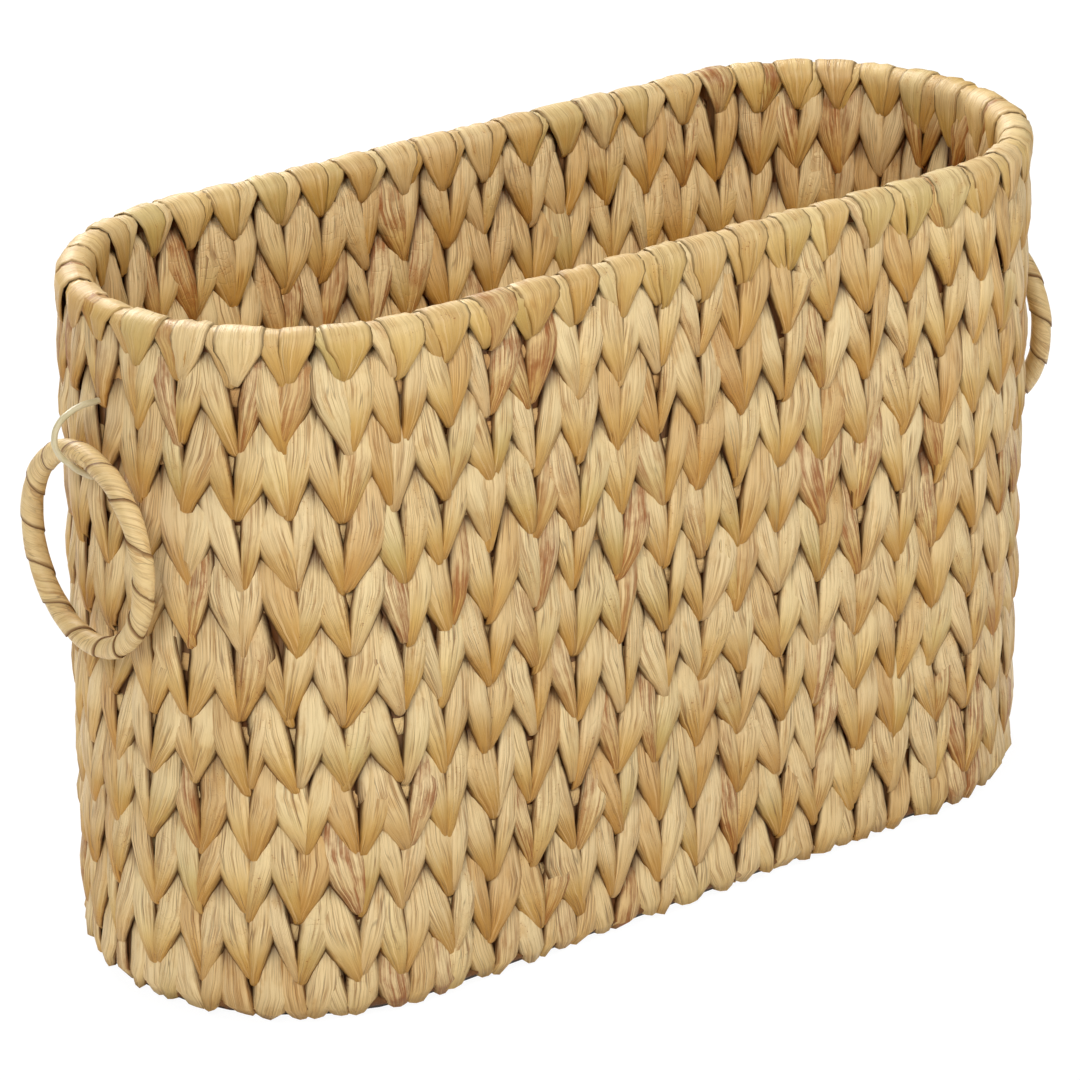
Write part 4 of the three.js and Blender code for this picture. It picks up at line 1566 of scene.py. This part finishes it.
@dataclass(frozen=True)
class CaneFinish(Finish):
    """Smooth peeled cane of the loops, pale with a trace of green."""

    name: str = "cane"
    bump: float = 0.3
    relief: float = 0.2 * MM
    pale: Colour = paint(212, 199, 164)
    green: Colour = paint(196, 185, 146)
    line_brown: Colour = paint(176, 158, 104)
    streaks: Grain = Grain(6, 0.08, 0, 3.0, 0.6)

    def dress(self, graph: Graph) -> None:
        """Fills the material's graph.

        Args:
            graph: The graph.
        """
        leaf = LeafPoint.of(graph)
        lines = leaf.noise(self.streaks, 1.0)
        patches = graph.noise(graph.vector(leaf.across, leaf.along * 0.12, 5.0), 1.0, 3.0)
        base = graph.coats(self.pale, [
            (graph.ease(patches, 0.4, 0.66), self.green),
            (graph.ease(lines, 0.52, 0.75) * 0.6, self.line_brown),
        ])
        self.surface(graph, {"Base Color": base, "Roughness": 0.32 + lines * 0.12}, lines)


@dataclass(frozen=True)
class IronFinish(Finish):
    """Annealed iron wire with a little rust, as the frame under the leaf is made of."""

    bump: float = 0.5
    relief: float = 0.2 * MM
    iron: Colour = paint(70, 66, 62)
    rust: Colour = paint(122, 70, 38)

    def dress(self, graph: Graph) -> None:
        """Fills the material's graph.

        Args:
            graph: The graph.
        """
        place = graph.out("ShaderNodeTexCoord", "Object")
        cloud = graph.noise(place, 60.0, 5.0, 0.6)
        grain = graph.noise(place, 900.0, 3.0, 0.6)
        rusty = graph.ease(cloud + (grain - 0.5) * 0.3, 0.55, 0.66)
        look = {"Base Color": graph.coats(self.iron, [(rusty, self.rust)]),
                "Metallic": 0.9 - rusty * 0.8, "Roughness": 0.42 + rusty * 0.4}
        self.surface(graph, look, grain + rusty * 0.6)


def placed(piece: bpy.types.Object, body: str, node: str) -> bpy.types.Object:
    """Hands a finished piece to the frame.

    Args:
        piece: The piece.
        body: The CAD body that it moves with.
        node: The CAD node that it replaces.

    Returns:
        The same piece.
    """
    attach(piece, body)
    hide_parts(node)
    return piece


@dataclass
class WallWeave:
    """The woven wall: one piece for each strand, two V columns wide.

    The ring handles lean on its ends and have pressed a dent where their lowest part rests.
    """

    weave: Weave
    path: LeafPath
    material: bpy.types.Material
    draw_up: float = 9.0 * MM
    draw_up_height: float = 240.0 * MM
    dent: float = 1.4 * MM
    dent_height: float = 140.0 * MM

    def build(self, shelf: bpy.types.Collection) -> list[bpy.types.Object]:
        """Weaves every strand.

        Args:
            shelf: The collection that keeps the shapes in the making.

        Returns:
            The pieces.
        """
        weave, path = self.weave, self.path
        fold_length = path.fold - 2 * weave.tip_height(0)
        blade_set = BladeSet(weave.row_pitch, weave.column_width / 2)
        band_set = RimBandSet(fold_length, weave.column_width / 2)
        blades = stock("blades", blade_set, shelf)
        bands = stock("bands", band_set, shelf)
        backing = backing_object(weave, path, shelf)
        plan = line_object("plan", weave.plan_points(2 * MM), True, shelf)
        across = line_object("path", path.points, False, shelf)
        tree = WallWeaveTree(blade_set.variants, band_set.variants)
        per_side = weave.strand_count // 2
        pieces = []
        for index in range(weave.strand_count):
            place = index // 2 + (per_side if index % 2 else 0)
            node = f"wall_strand_{index + 1:02d}"
            piece = tree.grow(f"leaf_{node}", {
                "First Column": place * weave.columns_per_strand,
                "Columns": weave.columns_per_strand,
                "Rows": weave.rows,
                "Column Width": weave.column_width,
                "Row Pitch": weave.row_pitch,
                "First Tip": weave.tip_height(0),
                "Fold": path.fold,
                "Path Start": path.start,
                "Perimeter": weave.perimeter,
                "Draw-up": self.draw_up,
                "Draw-up Height": self.draw_up_height,
                "Dent": self.dent,
                "Dent Height": self.dent_height,
                "Seed": place + 1,
                "Blades": blades,
                "Rim Bands": bands,
                "Backing": backing,
                "Plan": plan,
                "Path": across,
                "Finish": self.material,
            }, shelf)
            pieces.append(placed(piece, BASKET_BODY, node))
        return pieces


@dataclass
class WovenBase:
    """The woven base: strands side by side along the basket, V's on both faces."""

    weave: Weave
    material: bpy.types.Material
    end_radius: float = 76.2 * MM
    crest: float = 1.8 * MM
    floor_gap: float = 0.4 * MM
    tuck: float = 9.0 * MM
    backing: float = 1.0 * MM
    backing_cuts: int = 61
    backing_lanes: int = 9
    row_offsets: tuple[float, float] = (1.1, 0.6)
    first_seed: int = 40
    shape_seed: int = 71

    def build(self, shelf: bpy.types.Collection) -> list[bpy.types.Object]:
        """Weaves every strand.

        Args:
            shelf: The collection that keeps the shapes in the making.

        Returns:
            The pieces.
        """
        weave = self.weave
        nodes = sorted(name for name in frame["nodes"] if name.startswith("base_strand"))
        low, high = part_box(nodes[0])
        width = 2 * self.end_radius / len(nodes)
        blade_set = BladeSet(weave.row_pitch, weave.column_width / 2, seed=self.shape_seed)
        blades = stock("base_blades", blade_set, shelf)
        tree = BaseWeaveTree(blade_set.variants)
        reach = weave.straight_half + self.end_radius
        rows = math.ceil(2 * reach / weave.row_pitch)
        thickness = high.z - low.z - 2 * self.crest
        near, far = (thickness - self.backing) / 2, (thickness + self.backing) / 2
        beyond = reach + 3 * self.tuck
        cuts = [(way, near, far) for way in np.linspace(-beyond, beyond, self.backing_cuts)]
        across = np.linspace(-width / 2, width / 2, self.backing_lanes)
        backing = slab_object("base_backing", across, cuts, shelf)
        pieces = []
        for index, node in enumerate(nodes):
            near_side, far_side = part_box(node)
            middle = (near_side.y + far_side.y) / 2
            piece = tree.grow(f"leaf_{node}", {
                "First Column": 0,
                "Columns": 1,
                "Rows": rows,
                "Column Width": width,
                "Row Pitch": weave.row_pitch,
                "First Tip": reach - weave.row_pitch * self.row_offsets[index % 2],
                "Seed": self.first_seed + index,
                "Blades": blades,
                "Thickness": thickness,
                "Middle": middle,
                "Top": high.z - self.crest,
                "Bottom": low.z + self.floor_gap,
                "Straight Half": weave.straight_half,
                "End Radius": self.end_radius,
                "Tuck": self.tuck,
                "Backing": backing,
                "Finish": self.material,
            }, shelf)
            pieces.append(placed(piece, BASKET_BODY, node))
        return pieces


@dataclass
class RowRods:
    """The leaf rolls that run round the basket behind the V bottoms, one for each row."""

    weave: Weave
    finish: RodFinish
    below_tip: float = 5.0 * MM
    depth: float = 3.9 * MM
    half_height: float = 4.0 * MM
    half_thickness: float = 1.3 * MM
    section_points: int = 12
    sway: float = 1.2 * MM
    sway_scale: float = 90.0
    steps: int = 190
    kind_steps: tuple[float, float] = (0.37, 0.61)

    def build(self, tree: WoundBarTree, shelf: bpy.types.Collection) -> list[bpy.types.Object]:
        """Makes every rod.

        Args:
            tree: The tree that sweeps a bar.
            shelf: The collection that keeps the routes.

        Returns:
            The pieces.
        """
        turns = [2 * math.pi * i / self.section_points for i in range(self.section_points)]
        oval = [Vector((self.half_height * math.cos(turn), self.half_thickness * math.sin(turn), 0))
                for turn in turns]
        section = line_object("rod_section", oval, True, shelf)
        material = self.finish.material()
        count = sum(name.startswith("row_rod") for name in frame["nodes"])
        pieces = []
        for row in range(count):
            height = self.weave.tip_height(row) - self.below_tip
            places = (self.weave.plan_point(self.weave.perimeter * i / self.steps, self.depth)
                      for i in range(self.steps))
            route = [Vector((*place, height)) for place in places]
            piece = tree.grow(f"leaf_row_rod_{row + 1}", {
                "Route": line_object(f"rod_route_{row + 1}", route, True, shelf),
                "Section": section,
                "Sway": self.sway,
                "Sway Scale": self.sway_scale,
                "Upright": (0.0, 0.0, 1.0),
                "Kind": (*((row * step) % 1.0 for step in self.kind_steps), 0.0),
                "Finish": material,
            }, shelf)
            pieces.append(placed(piece, BASKET_BODY, f"row_rod_{row + 1}"))
        return pieces


class End(Enum):
    """The two ends of the basket, with the way that each faces along X."""

    LEFT = -1
    RIGHT = 1


@dataclass
class CaneLoops:
    """The cane loops that carry the ring handles."""

    weave: Weave
    finish: CaneFinish
    radius: float = 1.2 * MM
    place: float = 9.26 * MM
    above_rod: dict[End, float] = field(default_factory=lambda: {End.LEFT: 14.9 * MM, End.RIGHT: 7.2 * MM})
    below_rod: dict[End, float] = field(default_factory=lambda: {End.LEFT: 14.9 * MM, End.RIGHT: 22.6 * MM})
    reach: float = 19.5 * MM
    bend: float = 3.0 * MM
    end_gap: float = 0.3 * MM
    rod_height: float = 228.8 * MM
    section_points: int = 12
    sway: float = 0.25 * MM
    sway_scale: float = 120.0
    sag_shares: tuple[tuple[float, float], ...] = (
        (0.08, 0.0), (0.36, 0.005), (0.63, 0.055), (0.88, 0.16), (1.0, 0.34),
        (0.92, 0.555), (0.69, 0.73), (0.43, 0.88), (0.16, 0.985),
    )

    def route(self, end: End) -> list[Vector]:
        """Gives the points of one loop, out over the rod, round the ring and back in."""
        wall = self.weave.length / 2
        inside, lead = wall - self.place, wall - self.place + self.bend
        top, bottom = self.rod_height + self.above_rod[end], self.rod_height - self.below_rod[end]
        places = [(inside, self.rod_height + self.end_gap), (inside, top - self.bend), (lead, top)]
        places += [(wall + self.reach * out, top - (top - bottom) * down) for out, down in self.sag_shares]
        places += [(lead, bottom), (inside, bottom + self.bend), (inside, self.rod_height - self.end_gap)]
        return [Vector((end.value * out, 0.0, height)) for out, height in places]

    def build(self, tree: WoundBarTree, shelf: bpy.types.Collection) -> list[bpy.types.Object]:
        """Makes both loops.

        Args:
            tree: The tree that sweeps a bar.
            shelf: The collection that keeps the routes.

        Returns:
            The pieces.
        """
        turns = [2 * math.pi * i / self.section_points for i in range(self.section_points)]
        round_points = [Vector((math.cos(turn), math.sin(turn), 0)) * self.radius for turn in turns]
        section = line_object("cane_section", round_points, True, shelf)
        material = self.finish.material()
        pieces = []
        for end in End:
            side = end.name.lower()
            piece = tree.grow(f"cane_loop_{side}", {
                "Route": line_object(f"loop_route_{side}", self.route(end), False, shelf, smooth=True),
                "Section": section,
                "Sway": self.sway,
                "Sway Scale": self.sway_scale,
                "Upright": (0.0, 1.0, 0.0),
                "Kind": (0.5, 0.5, 0.0),
                "Finish": material,
            }, shelf)
            pieces.append(placed(piece, BASKET_BODY, f"handle_loop_{side}"))
        return pieces


@dataclass
class RingHandles:
    """The ring handles: leaf strip wound round an iron ring."""

    finish: LeafFinish
    ring_radius: float = 38.0 * MM
    inner_radius: float = 3.4 * MM
    outer_radius: float = 4.6 * MM
    strip: float = 0.4 * MM
    turns: int = 14
    steps: int = 20
    overlap: float = 0.2
    seed: float = 3.7

    def build(self, tree: WoundRingTree, shelf: bpy.types.Collection) -> list[bpy.types.Object]:
        """Winds both rings.

        Args:
            tree: The tree that winds a strip.
            shelf: The collection that keeps the carriers.

        Returns:
            The pieces.
        """
        material = self.finish.material()
        pieces = []
        for end in End:
            side = end.name.lower()
            low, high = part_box(f"ring_wrap_{side}")
            piece = tree.grow(f"leaf_ring_{side}", {
                "Centre": tuple((low + high) / 2),
                "Ring Radius": self.ring_radius,
                "Inner Radius": self.inner_radius,
                "Outer Radius": self.outer_radius,
                "Strip": self.strip,
                "Turns": self.turns,
                "Steps": self.steps,
                "Overlap": self.overlap,
                "Facing": float(end.value),
                "Seed": self.seed + end.value,
                "Finish": material,
            }, shelf)
            pieces.append(placed(piece, f"{side}_ring", f"ring_wrap_{side}"))
        return pieces


@dataclass
class WireFrame:
    """The CAD's own iron pieces, which stay and get their finish."""

    slots: dict[str, tuple[str, ...]] = field(default_factory=lambda: {
        "frame_wire": ("rim_hoop", "foot_hoop", "cross_wire", "end_upright"),
        "ring_core": ("ring_core",),
    })

    def build(self) -> list[bpy.types.Object]:
        """Dresses the pieces.

        Returns:
            The pieces.
        """
        pieces = []
        for slot, stems in self.slots.items():
            material = IronFinish(slot).material()
            for name in frame["nodes"]:
                if name.startswith(stems):
                    piece = bpy.data.objects[name]
                    for material_slot in piece.material_slots:
                        material_slot.material = material
                    pieces.append(piece)
        return pieces


def stock(name: str, made_by: BladeSet | RimBandSet, shelf: bpy.types.Collection) -> bpy.types.Collection:
    """Makes a collection of leaf shapes, the left halves first.

    Args:
        name: The collection's name.
        made_by: What makes the shapes.
        shelf: The collection that keeps it.

    Returns:
        The collection.
    """
    collection = bpy.data.collections.new(name)
    shelf.children.link(collection)
    for order, side in enumerate(Side):
        for variant in range(made_by.variants):
            made_by.make(f"{name}_{order}_{variant:02d}", side, variant, collection)
    return collection


@dataclass(frozen=True)
class Lamp:
    """A square soft lamp that points at the basket; its power is in watts."""

    name: str
    place: tuple[float, float, float]
    size: float
    power: float


@dataclass(frozen=True)
class Studio:
    """Floor, lights and the camera at the photograph's angle."""

    azimuth: float = -38.09
    elevation: float = 22.57
    distance: float = 1.9066
    target_height: float = 0.141
    lens: float = 157.8
    yaw: float = -0.0051
    pitch: float = -0.0049
    roll: float = -0.003
    sensor_width: float = 36.0
    floor_size: float = 14.0
    floor_grey: Colour = (0.86, 0.86, 0.86, 1.0)
    floor_glow: float = 1.06
    floor_glow_share: float = 0.9
    white: Colour = (1.0, 1.0, 1.0, 1.0)
    even_light: Colour = (1.0, 0.95, 0.85, 1.0)
    even_strength: float = 0.16
    lamps: tuple[Lamp, ...] = (
        Lamp("key", (-1.8, -1.3, 1.8), 0.9, 35.5),
        Lamp("fill", (0.6, -1.8, 1.8), 1.0, 26.5),
        Lamp("top", (0.0, -0.05, 1.7), 0.5, 1.5),
        Lamp("back", (0.2, 1.7, 1.5), 1.2, 52.0),
    )

    def camera(self) -> None:
        """Makes the camera."""
        azimuth, elevation = math.radians(self.azimuth), math.radians(self.elevation)
        back = Vector((math.sin(azimuth) * math.cos(elevation), -math.cos(azimuth) * math.cos(elevation),
                       math.sin(elevation)))
        right = (-back).cross(Vector((0, 0, 1))).normalized()
        up = right.cross(-back)
        ahead = (-back + right * self.yaw + up * self.pitch).normalized()
        right = ahead.cross(up).normalized()
        up = right.cross(ahead)
        tilted = right * math.cos(self.roll) + up * math.sin(self.roll)
        up = up * math.cos(self.roll) - right * math.sin(self.roll)
        data = bpy.data.cameras.new("camera")
        data.lens = self.lens
        data.sensor_width = self.sensor_width
        camera = bpy.data.objects.new("camera", data)
        turn = Matrix((tilted, up, -ahead)).transposed().to_4x4()
        place = Vector((0, 0, self.target_height)) + back * self.distance
        camera.matrix_world = Matrix.Translation(place) @ turn
        bpy.context.scene.collection.objects.link(camera)
        bpy.context.scene.camera = camera

    def floor(self) -> None:
        """Makes the white floor, which keeps a faint shadow."""
        half = self.floor_size / 2
        mesh = bpy.data.meshes.new("floor")
        corners = [(-half, -half, 0), (half, -half, 0), (half, half, 0), (-half, half, 0)]
        mesh.from_pydata(corners, [], [(0, 1, 2, 3)])
        floor = bpy.data.objects.new("floor", mesh)
        bpy.context.scene.collection.objects.link(floor)
        material = bpy.data.materials.new("floor")
        material.use_nodes = True
        graph = Graph(material.node_tree)
        seen = graph.node("ShaderNodeLightPath")
        lit = graph.out("ShaderNodeBsdfDiffuse", 0, None, {"Color": self.floor_grey})
        glow = graph.out("ShaderNodeEmission", 0, None, {"Color": self.white, "Strength": self.floor_glow})
        share = Wire(graph, seen.outputs["Is Camera Ray"]) * self.floor_glow_share
        mixed = graph.out("ShaderNodeMixShader", 0, None, {0: share, 1: lit, 2: glow})
        graph.node("ShaderNodeOutputMaterial", None, {"Surface": mixed})
        mesh.materials.append(material)

    def light(self, lamp: Lamp) -> None:
        """Sets up one lamp."""
        data = bpy.data.lights.new(lamp.name, "AREA")
        data.shape = "SQUARE"
        data.size = lamp.size
        data.energy = lamp.power
        made = bpy.data.objects.new(lamp.name, data)
        towards = Vector((0, 0, self.target_height)) - Vector(lamp.place)
        turn = towards.to_track_quat("-Z", "Y").to_matrix().to_4x4()
        made.matrix_world = Matrix.Translation(lamp.place) @ turn
        bpy.context.scene.collection.objects.link(made)

    def world(self) -> None:
        """Makes the even light all round."""
        world = bpy.data.worlds.new("world")
        world.use_nodes = True
        graph = Graph(world.node_tree)
        seen = Wire(graph, graph.node("ShaderNodeLightPath").outputs["Is Camera Ray"])
        plain = graph.out("ShaderNodeBackground", 0, None,
                          {"Color": self.even_light, "Strength": self.even_strength})
        white = graph.out("ShaderNodeBackground", 0, None, {"Color": self.white, "Strength": 1.0})
        mixed = graph.out("ShaderNodeMixShader", 0, None, {0: seen, 1: plain, 2: white})
        graph.node("ShaderNodeOutputWorld", None, {"Surface": mixed})
        bpy.context.scene.world = world

    def build(self) -> None:
        """Sets up the whole studio."""
        self.camera()
        self.floor()
        for lamp in self.lamps:
            self.light(lamp)
        self.world()
        bpy.context.scene.view_settings.view_transform = "Standard"


def tidy(shelf: bpy.types.Collection) -> None:
    """Removes the shapes that were only needed in the making."""
    for child in list(shelf.children_recursive):
        for item in list(child.objects):
            bpy.data.objects.remove(item)
        bpy.data.collections.remove(child)
    for item in list(shelf.objects):
        bpy.data.objects.remove(item)
    bpy.data.collections.remove(shelf)


def main() -> None:
    """Builds every sub-assembly in order."""
    logging.basicConfig(level=logging.INFO, format="%(name)s: %(message)s")
    weave = Weave.from_frame()
    Studio().build()
    shelf = bpy.data.collections.new("shelf")
    bpy.context.scene.collection.children.link(shelf)
    leaf = LeafFinish().material()
    bar = WoundBarTree()
    pieces = WireFrame().build()
    pieces += RowRods(weave, RodFinish()).build(bar, shelf)
    pieces += WallWeave(weave, LeafPath.of(weave), leaf).build(shelf)
    pieces += WovenBase(weave, leaf).build(shelf)
    pieces += CaneLoops(weave, CaneFinish()).build(bar, shelf)
    wrap = LeafFinish("leaf_wrap", fade=0.65, fibre_depth=0.8, stain_share=0.05, roughness=0.44)
    pieces += RingHandles(wrap).build(WoundRingTree(), shelf)
    for piece in pieces:
        log.info("%s: %d faces", piece.name, len(piece.data.polygons))
    tidy(shelf)


if __name__ == "__main__":
    main()
